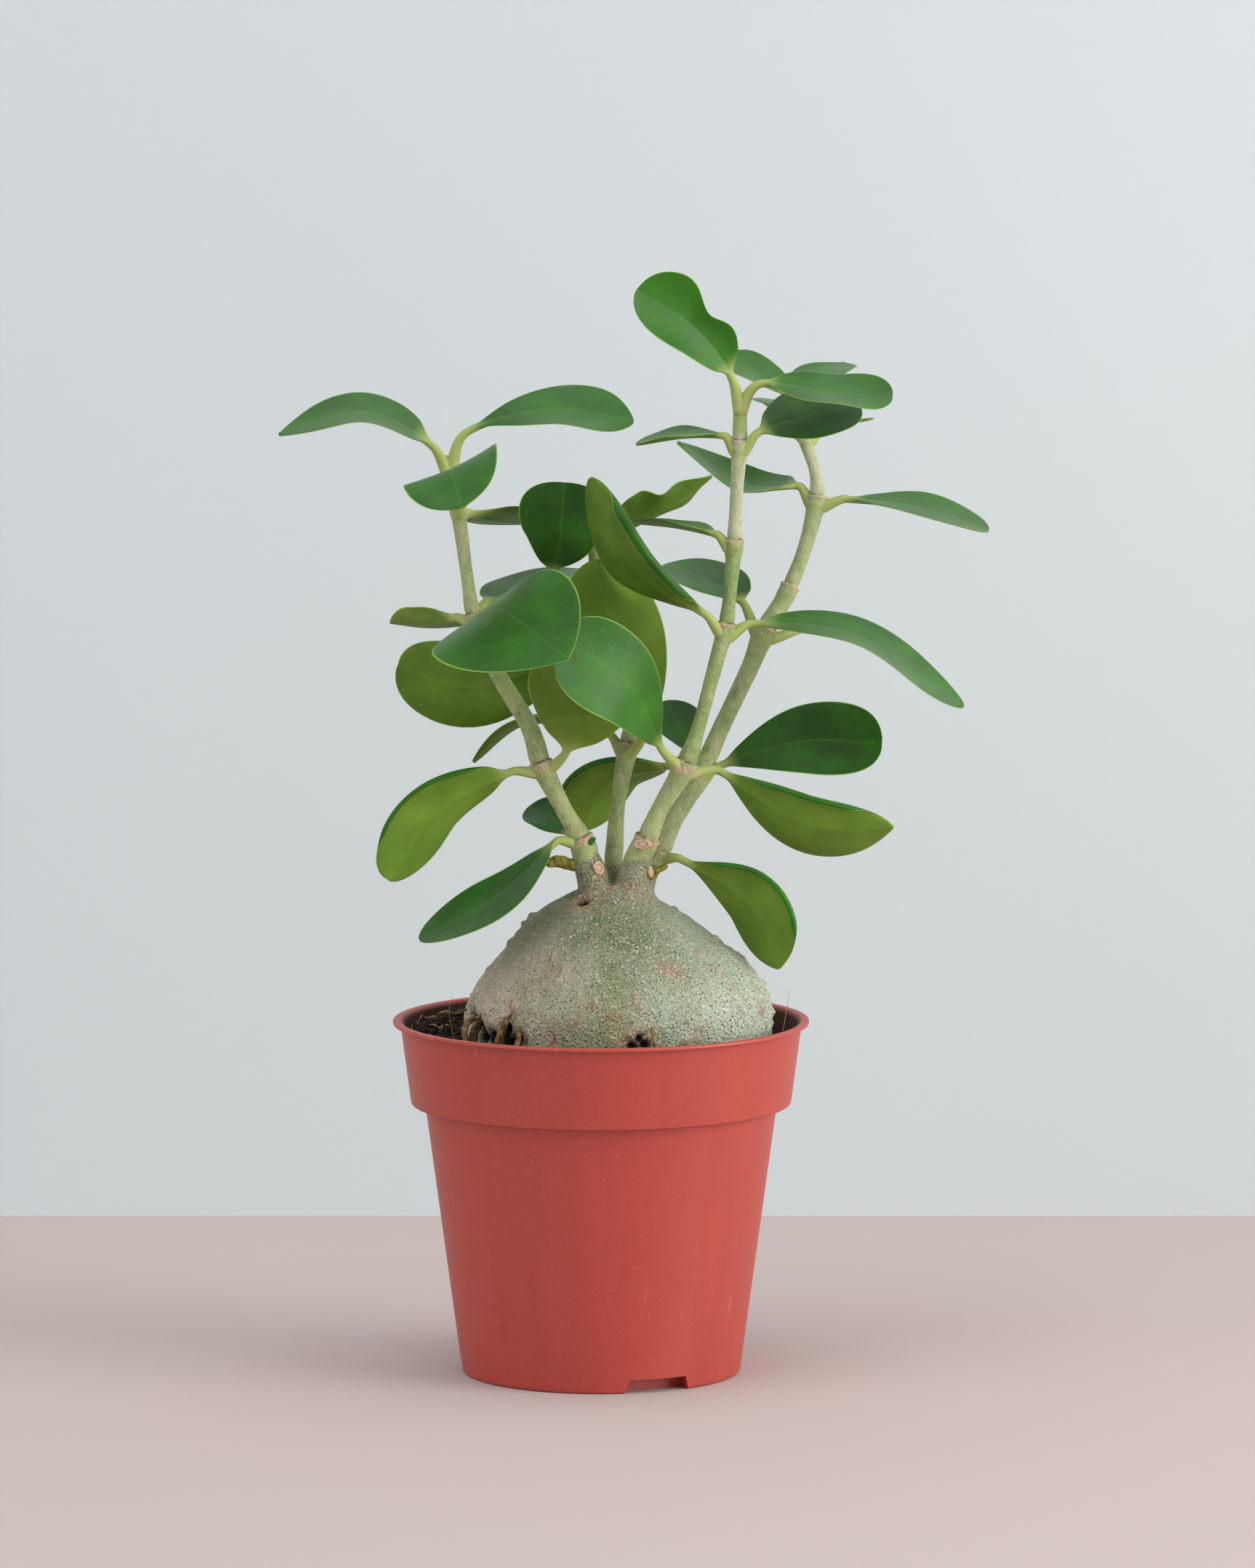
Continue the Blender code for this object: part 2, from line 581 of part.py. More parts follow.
def leaf_path(leaf):
    """Centre points, their shares along the blade, negative on the petiole, and the first direction."""
    axis, way, radius = stem_at(leaf.stem, leaf.node_z)
    neck = Vector(leaf.neck) * MM
    out = square_to(neck - axis, way)
    foot = axis + out * (radius + CLEARANCE)
    shoulder = foot + out * (1.4 * MM)
    curve = smooth_path([foot, shoulder, neck, Vector(leaf.middle) * MM, Vector(leaf.tip) * MM], 24)
    blade = curve[48:]
    reach = (neck - foot).length
    start = (out + (neck - foot).normalized()).normalized()
    before_neck = neck - (blade[1] - blade[0]).normalized() * (0.3 * reach)
    petiole = (foot, foot + start * (0.3 * reach), before_neck, neck)
    lengths = [0.0]
    for a, b in zip(blade, blade[1:]):
        lengths.append(lengths[-1] + (b - a).length)
    shares = [-1.0, -0.7, -0.35]
    centres = [bezier(petiole, 1 + share) for share in shares]
    for share in BLADE_ROWS:
        index = max(i for i, length in enumerate(lengths) if length <= share * lengths[-1])
        after = min(index + 1, len(blade) - 1)
        span = max(lengths[after] - lengths[index], 1e-9)
        centres.append(blade[index].lerp(blade[after], (share * lengths[-1] - lengths[index]) / span))
        shares.append(share)
    return centres, shares, out


def make_leaf(leaf, materials):
    """One leaf: a round petiole that opens into a thin keeled blade."""
    centres, shares, out = leaf_path(leaf)
    ways = [out, *tangents(centres)[1:]]
    start = min(range(len(shares)), key=lambda i: abs(shares[i] - 0.5))
    normals = carried(Vector(leaf.face), ways, start)
    rings = []
    for centre, way, normal, share in zip(centres, ways, normals, shares):
        twist = math.radians(leaf.twist * (max(0.0, share) - 0.5))
        turned = Matrix.Rotation(twist, 3, way) @ normal
        rings.append(leaf_section(leaf, centre, way.cross(turned), turned, share, LEAF_COLUMNS))
    count = len(LEAF_COLUMNS)
    mesh = skin(leaf.name, rings, mirrored=range(count, 2 * count))
    obj = add_object(leaf.name, mesh, [materials["upper"], materials["under"]])
    for polygon in mesh.polygons:
        corners = [vertex % (2 * count) for vertex in polygon.vertices]
        polygon.material_index = 1 if sum(k >= count for k in corners) * 2 >= len(corners) else 0
    return obj


def main():
    """Build the pot, the soil, the caudex, the stems, the roots and the leaves."""
    clear_scene()
    materials = make_materials()
    make_pot(materials)
    soil = make_soil(materials)
    caudex = add_object("caudex", caudex_mesh("caudex"), [materials["caudex"]])
    for socket in make_stems(materials):
        cut(caudex, socket)
    hollow = add_object("caudex_hollow", caudex_mesh("caudex_hollow", CLEARANCE), [])
    cut(soil, hollow)
    for hole in make_roots(materials):
        cut(soil, hole)
        cut(caudex, hole)
    ribs = notch_blocks("soil_rib_cutters", POT_WALL + CLEARANCE, POT_WALL)
    cut(soil, add_object("soil_rib_cutters", ribs, []))
    add_object("stub", tube("stub", STUB, ROOT_SIDES, STEM_STEPS), [materials["root"]])
    for leaf in LEAVES:
        make_leaf(leaf, materials)


main()
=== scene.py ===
"""Looks of a potted ant plant: a plastic nursery pot, potting mix, a warty caudex, stems and leaves.

The meshes are in metres. The plant's own tables are in millimetres and are multiplied by MM.
"""

import logging
import math
import random
from dataclasses import dataclass
from enum import Enum
from typing import Iterable, Sequence

import bmesh
import bpy
import numpy as np
from mathutils import Matrix, Vector, noise


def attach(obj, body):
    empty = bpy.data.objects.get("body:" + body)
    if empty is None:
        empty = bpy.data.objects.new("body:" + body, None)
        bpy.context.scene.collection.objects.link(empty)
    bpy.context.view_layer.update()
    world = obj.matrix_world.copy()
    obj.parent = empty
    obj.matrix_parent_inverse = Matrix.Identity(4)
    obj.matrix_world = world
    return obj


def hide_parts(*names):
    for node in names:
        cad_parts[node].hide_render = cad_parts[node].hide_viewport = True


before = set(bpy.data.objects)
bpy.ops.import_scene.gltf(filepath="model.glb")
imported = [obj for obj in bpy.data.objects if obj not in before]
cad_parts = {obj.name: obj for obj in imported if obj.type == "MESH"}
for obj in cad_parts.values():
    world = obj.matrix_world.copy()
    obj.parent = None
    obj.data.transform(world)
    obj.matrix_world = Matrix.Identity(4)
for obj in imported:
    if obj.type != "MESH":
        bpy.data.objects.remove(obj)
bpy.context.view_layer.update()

LOG = logging.getLogger("ant_plant")
MM = 0.001
ROOT_FOOT_Z = 89.0
SHARP_ANGLE = math.radians(42)
Colour = tuple[float, float, float, float]
Value = object


class Slot(Enum):
    """Material slots of the record."""

    POT = "pot_plastic"
    SOIL = "soil"
    CAUDEX = "caudex_skin"
    STEM = "stem_bark"
    ROOT = "root_bark"
    LEAF = "leaf"


class Age(Enum):
    """How far a leaf has ripened, as the share of its fresher colour."""

    YOUNG = 0.95
    GROWN = 0.5
    OLD = 0.12


def tint(red: int, green: int, blue: int) -> Colour:
    """Turn a display colour of 0 to 255 into a linear one with full opacity."""
    parts = [value / 255 for value in (red, green, blue)]
    return (*(p / 12.92 if p <= 0.04045 else ((p + 0.055) / 1.055) ** 2.4 for p in parts), 1.0)


class Graph:
    """Nodes and links of one shader tree."""

    def __init__(self, tree: bpy.types.NodeTree) -> None:
        """Take the tree that the nodes go into."""
        self.tree = tree

    def feed(self, socket: bpy.types.NodeSocket, value: Value) -> None:
        """Link a socket to an output, or set its value.

        Args:
            socket: the input to fill.
            value: an output socket, a number, a vector or a colour.
        """
        if isinstance(value, bpy.types.NodeSocket):
            self.tree.links.new(value, socket)
        else:
            socket.default_value = value

    def node(self, kind: str, inputs: dict | None = None, **settings: Value) -> bpy.types.Node:
        """Add a node.

        Args:
            kind: the node's type name.
            inputs: values or outputs by input name or index.
            settings: the node's own properties.

        Returns:
            The new node.
        """
        made = self.tree.nodes.new(kind)
        for name, value in settings.items():
            setattr(made, name, value)
        for name, value in (inputs or {}).items():
            self.feed(made.inputs[name], value)
        return made

    def math(
        self, operation: str, first: Value, second: Value = 0.0, clamp: bool = False
    ) -> bpy.types.NodeSocket:
        """Combine two numbers.

        Args:
            operation: the Math node's operation.
            first: first number.
            second: second number.
            clamp: whether the result is held between 0 and 1.

        Returns:
            The result's socket.
        """
        made = self.node("ShaderNodeMath", {0: first, 1: second}, operation=operation, use_clamp=clamp)
        return made.outputs[0]

    def mix(self, share: Value, first: Value, second: Value) -> bpy.types.NodeSocket:
        """Mix two colours by the share of the second."""
        return self.node("ShaderNodeMix", {0: share, 6: first, 7: second}, data_type="RGBA").outputs[2]

    def coated(self, base: Value, *coats: tuple[Value, float, Value]) -> Value:
        """Lay colours over a base.

        Args:
            base: the colour below.
            coats: the mask, strength and colour of each coat, the lowest first.

        Returns:
            The coated colour.
        """
        for mask, strength, colour in coats:
            base = self.mix(self.math("MULTIPLY", mask, strength), base, colour)
        return base

    def summed(self, base: Value, *parts: tuple[Value, float]) -> Value:
        """Add masks to a number, each by its own factor."""
        for mask, factor in parts:
            base = self.math("ADD", base, self.math("MULTIPLY", mask, factor))
        return base

    def inverse(self, mask: Value) -> bpy.types.NodeSocket:
        """Turn a mask inside out."""
        return self.math("SUBTRACT", 1.0, mask)

    def step(self, value: Value, low: float, high: float) -> bpy.types.NodeSocket:
        """Rise smoothly from 0 at low to 1 at high.

        Args:
            value: the number that is compared.
            low: where the rise starts.
            high: where the rise ends.

        Returns:
            The mask's socket.
        """
        made = self.node(
            "ShaderNodeMapRange", {"Value": value, "From Min": low, "From Max": high},
            interpolation_type="SMOOTHSTEP",
        )
        return made.outputs[0]

    def attribute(self, name: str) -> bpy.types.NodeSocket:
        """Read a number that the mesh holds at each point."""
        return self.node("ShaderNodeAttribute", attribute_name=name).outputs["Fac"]


def node_group(name: str, inputs: dict[str, float], outputs: Sequence[str]) -> tuple[Graph, Value, Value]:
    """Start a shader node group with number inputs and outputs.

    Args:
        name: the group's name.
        inputs: default value by input name.
        outputs: output names.

    Returns:
        The graph, the group's input node and its output node.
    """
    tree = bpy.data.node_groups.new(name, "ShaderNodeTree")
    for label, value in inputs.items():
        socket = tree.interface.new_socket(label, in_out="INPUT", socket_type="NodeSocketFloat")
        socket.default_value = value
    for label in outputs:
        tree.interface.new_socket(label, in_out="OUTPUT", socket_type="NodeSocketFloat")
    graph = Graph(tree)
    return graph, graph.node("NodeGroupInput"), graph.node("NodeGroupOutput")


def mottle_group() -> bpy.types.NodeTree:
    """Build soft uneven patches.

    Returns:
        The group, with Scale, Contrast and Shift, and a Mask from 0 to 1.
    """
    graph, given, out = node_group("mottle", {"Scale": 60.0, "Contrast": 2.0, "Shift": 0.0}, ["Mask"])
    place = graph.node("ShaderNodeTexCoord").outputs["Object"]
    scale = given.outputs["Scale"]
    cloud = graph.node("ShaderNodeTexNoise", {"Vector": place, "Scale": scale, "Detail": 4.0})
    centred = graph.math("SUBTRACT", cloud.outputs["Fac"], 0.5)
    spread = graph.math("MULTIPLY_ADD", centred, given.outputs["Contrast"])
    spread.node.inputs[2].default_value = 0.5
    mask = graph.math("ADD", spread, given.outputs["Shift"], clamp=True)
    graph.feed(out.inputs["Mask"], mask)
    return graph.tree


def pits_group() -> bpy.types.NodeTree:
    """Build small scattered round dots.

    Returns:
        The group, with Density and Size, and a Mask that is 1 in each dot.
    """
    graph, given, out = node_group("pits", {"Density": 900.0, "Size": 0.3}, ["Mask"])
    place = graph.node("ShaderNodeTexCoord").outputs["Object"]
    wobble = graph.node("ShaderNodeTexNoise", {"Vector": place, "Scale": 420.0, "Detail": 2.0})
    shift = graph.node(
        "ShaderNodeVectorMath", {0: wobble.outputs["Color"], 1: (0.5, 0.5, 0.5)}, operation="SUBTRACT"
    )
    small = graph.node("ShaderNodeVectorMath", {0: shift.outputs[0]}, operation="SCALE")
    small.inputs["Scale"].default_value = 0.0011
    moved = graph.node("ShaderNodeVectorMath", {0: place, 1: small.outputs[0]}, operation="ADD")
    density = given.outputs["Density"]
    cells = graph.node("ShaderNodeTexVoronoi", {"Vector": moved.outputs[0], "Scale": density})
    share = graph.math("DIVIDE", cells.outputs["Distance"], given.outputs["Size"])
    mask = graph.inverse(graph.step(share, 0.55, 1.15))
    graph.feed(out.inputs["Mask"], mask)
    return graph.tree


def threads_group() -> bpy.types.NodeTree:
    """Build fine pale threads that net the surface.

    Returns:
        The group, with Density and Width, and a Mask that is 1 on each thread.
    """
    graph, given, out = node_group("threads", {"Density": 700.0, "Width": 0.1}, ["Mask"])
    place = graph.node("ShaderNodeTexCoord").outputs["Object"]
    cells = graph.node(
        "ShaderNodeTexVoronoi", {"Vector": place, "Scale": given.outputs["Density"]},
        feature="DISTANCE_TO_EDGE",
    )
    share = graph.math("DIVIDE", cells.outputs["Distance"], given.outputs["Width"])
    mask = graph.inverse(graph.step(share, 0.3, 1.2))
    graph.feed(out.inputs["Mask"], mask)
    return graph.tree


class Effects:
    """Shader effects that several finishes share, each built once."""

    def __init__(self) -> None:
        """Build the node groups."""
        self.groups = {"mottle": mottle_group(), "pits": pits_group(), "threads": threads_group()}

    def place(self, graph: Graph, name: str, **values: float) -> bpy.types.NodeSocket:
        """Put an effect into a material.

        Args:
            graph: the material's graph.
            name: the effect's name.
            values: the group's inputs by name.

        Returns:
            The effect's mask.
        """
        made = graph.node("ShaderNodeGroup", node_tree=self.groups[name])
        for label, value in values.items():
            made.inputs[label].default_value = value
        return made.outputs["Mask"]


def new_material(name: str, **fixed: float) -> tuple[bpy.types.Material, Graph, bpy.types.Node]:
    """Start a material with its shader.

    Args:
        name: the material's name.
        fixed: shader values that are the same all over, by input name with underscores.

    Returns:
        The material, its graph and its shader node.
    """
    material = bpy.data.materials.new(name)
    material.use_nodes = True
    shader = material.node_tree.nodes["Principled BSDF"]
    for label, value in fixed.items():
        shader.inputs[label.replace("_", " ")].default_value = value
    return material, Graph(material.node_tree), shader


def roughen(graph: Graph, shader: bpy.types.Node, height: Value, strength: float, depth: float) -> None:
    """Give a shader a bumped normal, from a relief with its strength and its depth in metres."""
    bump = graph.node("ShaderNodeBump", {"Strength": strength, "Distance": depth, "Height": height})
    graph.feed(shader.inputs["Normal"], bump.outputs["Normal"])


@dataclass(frozen=True)
class LeafFinish:
    """Waxy green leaf with a paler midrib, margin and underside, and a painted sheen where the surface turns
    away from the view.
    """

    deep: Colour = tint(12, 58, 2)
    fresh: Colour = tint(44, 114, 4)
    under_deep: Colour = tint(60, 94, 14)
    # Partly the underside's own paler green, partly a painted glow of light shining through the leaf.
    under_fresh_and_glow: Colour = tint(118, 152, 50)
    rib: Colour = tint(86, 140, 44)
    margin: Colour = tint(140, 184, 74)
    stalk: Colour = tint(160, 174, 98)
    foot: Colour = tint(206, 186, 150)
    # bloom is the colour of the painted sheen: a pale grey-green that stands in for reflections at grazing
    # angles.
    bloom: Colour = tint(136, 154, 122)
    gloss: float = 0.42

    def make(self, effects: Effects) -> bpy.types.Material:
        """Build the material.

        Args:
            effects: the shared effects.

        Returns:
            The leaf material.
        """
        material, graph, shader = new_material("leaf_wax", Specular_IOR_Level=0.27)
        across = graph.math("ABSOLUTE", graph.attribute("across"))
        along = graph.attribute("along")
        under = graph.attribute("under")
        age = graph.attribute("age")
        off_rib = graph.math("MULTIPLY", across, graph.attribute("half"))
        rib = graph.inverse(graph.step(off_rib, 0.12, 0.6))
        margin = graph.step(across, 0.965, 0.992)
        patches = effects.place(graph, "mottle", Scale=75.0, Contrast=2.6, Shift=-0.2)
        grain = effects.place(graph, "mottle", Scale=900.0, Contrast=1.3)
        dust = effects.place(graph, "pits", Density=330.0, Size=0.06)
        patchy = graph.math("MULTIPLY", patches, 0.55)
        freshness = graph.math("ADD", patchy, graph.math("MULTIPLY", age, 0.55), clamp=True)
        upper = graph.mix(freshness, self.deep, self.fresh)
        lower = graph.mix(freshness, self.under_deep, self.under_fresh_and_glow)
        side_rib = self.veins(graph, along, across)
        # Painted sheen: the upper side is paled towards bloom where it faces away from the view, in place of
        # real reflections.
        facing = graph.node("ShaderNodeLayerWeight", {"Blend": 0.5}).outputs["Facing"]
        painted_sheen = graph.math("POWER", facing, 2.8)
        upper = graph.coated(
            upper, (side_rib, 0.02, self.rib), (rib, 0.16, self.rib), (painted_sheen, 0.4, self.bloom)
        )
        lower = graph.coated(lower, (rib, 0.10, self.margin))
        blade = graph.mix(under, upper, lower)
        blade = graph.coated(
            blade, (grain, 0.05, self.margin), (margin, 0.75, self.margin), (dust, 0.4, self.foot)
        )
        foot = graph.inverse(graph.step(along, -0.95, -0.45))
        foot = graph.math("MULTIPLY", foot, graph.attribute("woody"))
        stalk = graph.inverse(graph.step(along, -0.02, 0.15))
        blade = graph.mix(stalk, blade, self.stalk)
        graph.feed(shader.inputs["Base Color"], graph.mix(foot, blade, self.foot))
        graph.feed(shader.inputs["Roughness"], graph.summed(self.gloss, (under, 0.16), (grain, 0.06)))
        relief = graph.summed(graph.math("MULTIPLY", grain, 0.25), (side_rib, -0.12))
        roughen(graph, shader, relief, 0.35, 0.00025)
        return material

    def veins(self, graph: Graph, along: Value, across: Value) -> bpy.types.NodeSocket:
        """Mask the side veins, which leave the midrib forwards.

        Args:
            graph: the material's graph.
            along: share of the blade's length.
            across: share of the half width.

        Returns:
            The mask's socket.
        """
        lean = graph.math("MULTIPLY", graph.math("POWER", across, 0.8), 0.24)
        beat = graph.math("MULTIPLY", graph.math("SUBTRACT", along, lean), 44.0)
        wave = graph.math("SINE", beat)
        return graph.step(wave, 0.86, 1.0)


@dataclass(frozen=True)
class BarkFinish:
    """Young bark: green under pale scurf, with warm scars at the joints."""

    green: Colour = tint(166, 190, 112)
    dull: Colour = tint(180, 188, 124)
    leafy: Colour = tint(112, 142, 76)
    straw: Colour = tint(200, 194, 152)
    scurf: Colour = tint(228, 222, 194)
    shade: Colour = tint(84, 98, 54)
    shoot: Colour = tint(156, 174, 94)
    silver: Colour = tint(208, 204, 178)
    scar: Colour = tint(212, 174, 146)
    speck: Colour = tint(96, 56, 40)

    def make(self, effects: Effects) -> bpy.types.Material:
        """Build the material.

        Args:
            effects: the shared effects.

        Returns:
            The bark material.
        """
        material, graph, shader = new_material("bark", Specular_IOR_Level=0.4)
        place = graph.node("ShaderNodeTexCoord").outputs["Object"]
        spread = graph.node("ShaderNodeMapping", {"Vector": place, "Scale": (1.0, 1.0, 0.6)})
        flakes = graph.node(
            "ShaderNodeTexNoise",
            {"Vector": spread.outputs[0], "Scale": 1900.0, "Detail": 4.0, "Roughness": 0.75},
        ).outputs["Fac"]
        flecks = graph.step(flakes, 0.5, 0.66)
        hollows = graph.step(flakes, 0.48, 0.34)
        drawn = graph.node("ShaderNodeMapping", {"Vector": place, "Scale": (1.0, 1.0, 0.2)})
        streaks = graph.node(
            "ShaderNodeTexNoise", {"Vector": drawn.outputs[0], "Scale": 420.0, "Detail": 3.0}
        )
        straws = graph.step(streaks.outputs["Fac"], 0.46, 0.64)
        patches = effects.place(graph, "mottle", Scale=110.0, Contrast=2.4)
        leafy = effects.place(graph, "mottle", Scale=170.0, Contrast=3.2, Shift=-0.1)
        dots = effects.place(graph, "pits", Density=1500.0, Size=0.28)
        old = graph.attribute("old")
        body = graph.mix(old, self.green, self.dull)
        body = graph.coated(body, (leafy, 0.75, self.leafy), (straws, 0.45, self.straw))
        bloom = graph.attribute("bloom")
        body = graph.mix(graph.math("MULTIPLY", bloom, 0.75, clamp=True), body, self.silver)
        body = graph.mix(graph.math("MULTIPLY", bloom, -0.8, clamp=True), body, self.leafy)
        body = graph.mix(graph.attribute("fresh"), body, self.shoot)
        amount = graph.summed(graph.math("MULTIPLY", patches, 0.4), (old, 0.35))
        body = graph.mix(graph.math("MULTIPLY", flecks, amount), body, self.scurf)
        body = graph.coated(body, (hollows, 0.5, self.shade))
        warm = graph.coated(self.scar, (dots, 0.8, self.speck))
        body = graph.mix(graph.attribute("scar"), body, warm)
        body = graph.coated(body, (graph.attribute("line"), 0.9, self.speck))
        graph.feed(shader.inputs["Base Color"], body)
        graph.feed(shader.inputs["Roughness"], graph.summed(0.52, (flecks, 0.22)))
        roughen(graph, shader, graph.summed(flecks, (hollows, -0.7)), 0.6, 0.0003)
        return material


@dataclass(frozen=True)
class CaudexFinish:
    """Skin of the caudex: sage green with dark pits, pale threads and warm scabs."""

    sage: Colour = tint(170, 180, 143)
    olive: Colour = tint(102, 122, 74)
    pale: Colour = tint(218, 236, 214)
    straw: Colour = tint(234, 212, 186)
    thread: Colour = tint(206, 208, 180)
    pit: Colour = tint(72, 70, 42)
    moss: Colour = tint(146, 140, 88)
    scab: Colour = tint(222, 190, 168)
    crust: Colour = tint(150, 112, 88)
    hole_shade: Colour = tint(24, 14, 10)

    def make(self, effects: Effects) -> bpy.types.Material:
        """Build the material.

        Args:
            effects: the shared effects.

        Returns:
            The skin material.
        """
        material, graph, shader = new_material("caudex_skin", Specular_IOR_Level=0.35)
        broad = effects.place(graph, "mottle", Scale=42.0, Contrast=3.6)
        fine = effects.place(graph, "mottle", Scale=300.0, Contrast=3.0)
        pebbles = effects.place(graph, "mottle", Scale=1250.0, Contrast=5.0)
        dots = effects.place(graph, "pits", Density=950.0, Size=0.26)
        net = effects.place(graph, "threads", Density=900.0, Width=0.22)
        low = graph.attribute("low")
        # The darker top is partly the skin's own olive and partly painted shade of the leaves above. It fades
        # on the lit right side.
        dark = graph.math("ADD", graph.math("MULTIPLY", broad, 0.7), graph.attribute("crown_olive_and_shade"), clamp=True)
        body = graph.mix(dark, self.sage, self.olive)
        # Painted light: the pale mask lightens the side of the caudex that faces the window lamp.
        body = graph.mix(graph.attribute("pale"), body, self.pale)
        # Straw is partly the skin's own beige and partly painted light on the left flank and the neck.
        body = graph.mix(graph.attribute("straw"), body, self.straw)
        body = graph.coated(body, (fine, 0.16, self.straw))
        stain = effects.place(graph, "mottle", Scale=70.0, Contrast=3.4, Shift=-0.12)
        body = graph.mix(graph.math("MULTIPLY", stain, graph.attribute("mossy")), body, self.moss)
        body = graph.coated(body, (graph.inverse(net), 0.26, self.olive))
        ridges = graph.math("MULTIPLY", graph.math("MULTIPLY", net, pebbles), graph.attribute("netted"))
        body = graph.mix(ridges, body, self.thread)
        pitted = graph.math("MULTIPLY", dots, graph.summed(0.42, (low, 0.42)))
        body = graph.mix(pitted, body, self.pit)
        crusted = graph.mix(pebbles, self.crust, self.scab)
        body = graph.mix(graph.attribute("scab"), body, crusted)
        # Painted shade: the holes and the hollows under the left lobe are sunk only a little and painted near
        # black.
        body = graph.mix(graph.attribute("hole_shade"), body, self.hole_shade)
        graph.feed(shader.inputs["Base Color"], body)
        graph.feed(shader.inputs["Roughness"], graph.summed(0.55, (fine, 0.2)))
        relief = graph.math("SUBTRACT", graph.math("MULTIPLY", ridges, 0.9), dots)
        roughen(graph, shader, graph.summed(relief, (pebbles, 0.5)), 1.0, 0.0006)
        return material


@dataclass(frozen=True)
class PotFinish:
    """Moulded plastic of the pot, satin outside and darker inside, partly soil stain and partly painted
    shade.
    """

    shell: Colour = tint(182, 62, 50)
    deep: Colour = tint(163, 51, 41)
    inside: Colour = tint(68, 28, 25)
    dust: Colour = tint(214, 128, 108)

    def make(self, effects: Effects) -> bpy.types.Material:
        """Build the material.

        Args:
            effects: the shared effects.

        Returns:
            The plastic.
        """
        material, graph, shader = new_material("pot_plastic", Specular_IOR_Level=0.62)
        place = graph.node("ShaderNodeTexCoord").outputs["Object"]
        drawn = graph.node("ShaderNodeMapping", {"Vector": place, "Scale": (1.0, 1.0, 0.08)})
        flow = graph.node("ShaderNodeTexNoise", {"Vector": drawn.outputs[0], "Scale": 130.0, "Detail": 3.0})
        flow_mask = graph.step(flow.outputs["Fac"], 0.35, 0.7)
        grain = effects.place(graph, "mottle", Scale=1400.0, Contrast=2.0)
        broad = effects.place(graph, "mottle", Scale=18.0, Contrast=1.6)
        specks = effects.place(graph, "pits", Density=130.0, Size=0.045)
        scuffs = self.scuffs(graph, place)
        shell = graph.coated(
            self.shell, (broad, 0.5, self.deep), (flow_mask, 0.3, self.deep),
            (grain, 0.1, self.dust), (specks, 0.4, self.dust), (scuffs, 0.4, self.dust),
        )
        # The darker inside is partly soil stain and partly painted shade of the inner wall.
        inside = graph.attribute("inside")
        graph.feed(shader.inputs["Base Color"], graph.mix(inside, shell, self.inside))
        rough = graph.summed(0.42, (grain, 0.08), (scuffs, 0.15), (inside, 0.4))
        graph.feed(shader.inputs["Roughness"], rough)
        roughen(graph, shader, graph.summed(grain, (flow_mask, 1.2)), 0.12, 0.0001)
        return material

    def scuffs(self, graph: Graph, place: Value) -> bpy.types.NodeSocket:
        """Mask a few thin scuffs.

        Args:
            graph: the material's graph.
            place: the object's coordinates.

        Returns:
            The mask's socket.
        """
        turned = graph.node(
            "ShaderNodeMapping", {"Vector": place, "Rotation": (0.2, 0.5, 0.3), "Scale": (1.0, 1.0, 0.06)}
        )
        lines = graph.node("ShaderNodeTexNoise", {"Vector": turned.outputs[0], "Scale": 420.0, "Detail": 1.0})
        thin = graph.step(lines.outputs["Fac"], 0.70, 0.76)
        area = graph.node("ShaderNodeTexNoise", {"Vector": place, "Scale": 38.0, "Detail": 1.0})
        return graph.math("MULTIPLY", thin, graph.step(area.outputs["Fac"], 0.52, 0.62))


@dataclass(frozen=True)
class LooseFinish:
    """Crumbs, bark and roots: one dark and one light tone, chosen piece by piece."""

    name: str
    dark: Colour
    light: Colour
    rough: float = 0.9
    scale: float = 700.0

    def make(self, effects: Effects) -> bpy.types.Material:
        """Build the material.

        Args:
            effects: the shared effects.

        Returns:
            The material.
        """
        material, graph, shader = new_material(self.name, Roughness=self.rough, Specular_IOR_Level=0.3)
        fine = effects.place(graph, "mottle", Scale=self.scale, Contrast=2.5)
        share = graph.math("ADD", graph.math("MULTIPLY", fine, 0.45), graph.attribute("shade"), clamp=True)
        graph.feed(shader.inputs["Base Color"], graph.mix(share, self.dark, self.light))
        roughen(graph, shader, fine, 0.7, 0.0004)
        return material


@dataclass(frozen=True)
class StageFinish:
    """Plain matt paint of the floor and the wall. A one-way paint is seen from its front alone."""

    name: str
    colour: Colour
    one_way: bool = False

    def make(self) -> bpy.types.Material:
        """Build the paint."""
        material, graph, shader = new_material(
            self.name, Base_Color=self.colour, Roughness=0.9, Specular_IOR_Level=0.2
        )
        if self.one_way:
            behind = graph.node("ShaderNodeNewGeometry").outputs["Backfacing"]
            graph.feed(shader.inputs["Alpha"], graph.inverse(behind))
        return material


def unit(vectors: np.ndarray) -> np.ndarray:
    """Scale one vector, or one a row, to length one."""
    return vectors / np.maximum(np.linalg.norm(vectors, axis=-1, keepdims=True), 1e-12)


def ramp(values: np.ndarray, low: float, high: float) -> np.ndarray:
    """Rise in a straight line from 0 at low to 1 at high. It falls where high is the smaller."""
    return np.clip((values - low) / (high - low), 0, 1)


def bell(values: np.ndarray, centre: float, width: float) -> np.ndarray:
    """Make a smooth bump that is 1 at the centre."""
    return np.exp(-(((values - centre) / width) ** 2))


def around(count: int) -> np.ndarray:
    """Space angles evenly round a circle."""
    return 2 * math.pi * np.arange(count) / count


def level_ring(x: np.ndarray, y: np.ndarray, z: float) -> np.ndarray:
    """Set points at one height, one a row."""
    return np.stack([x, y, np.full(len(x), z)], axis=1)


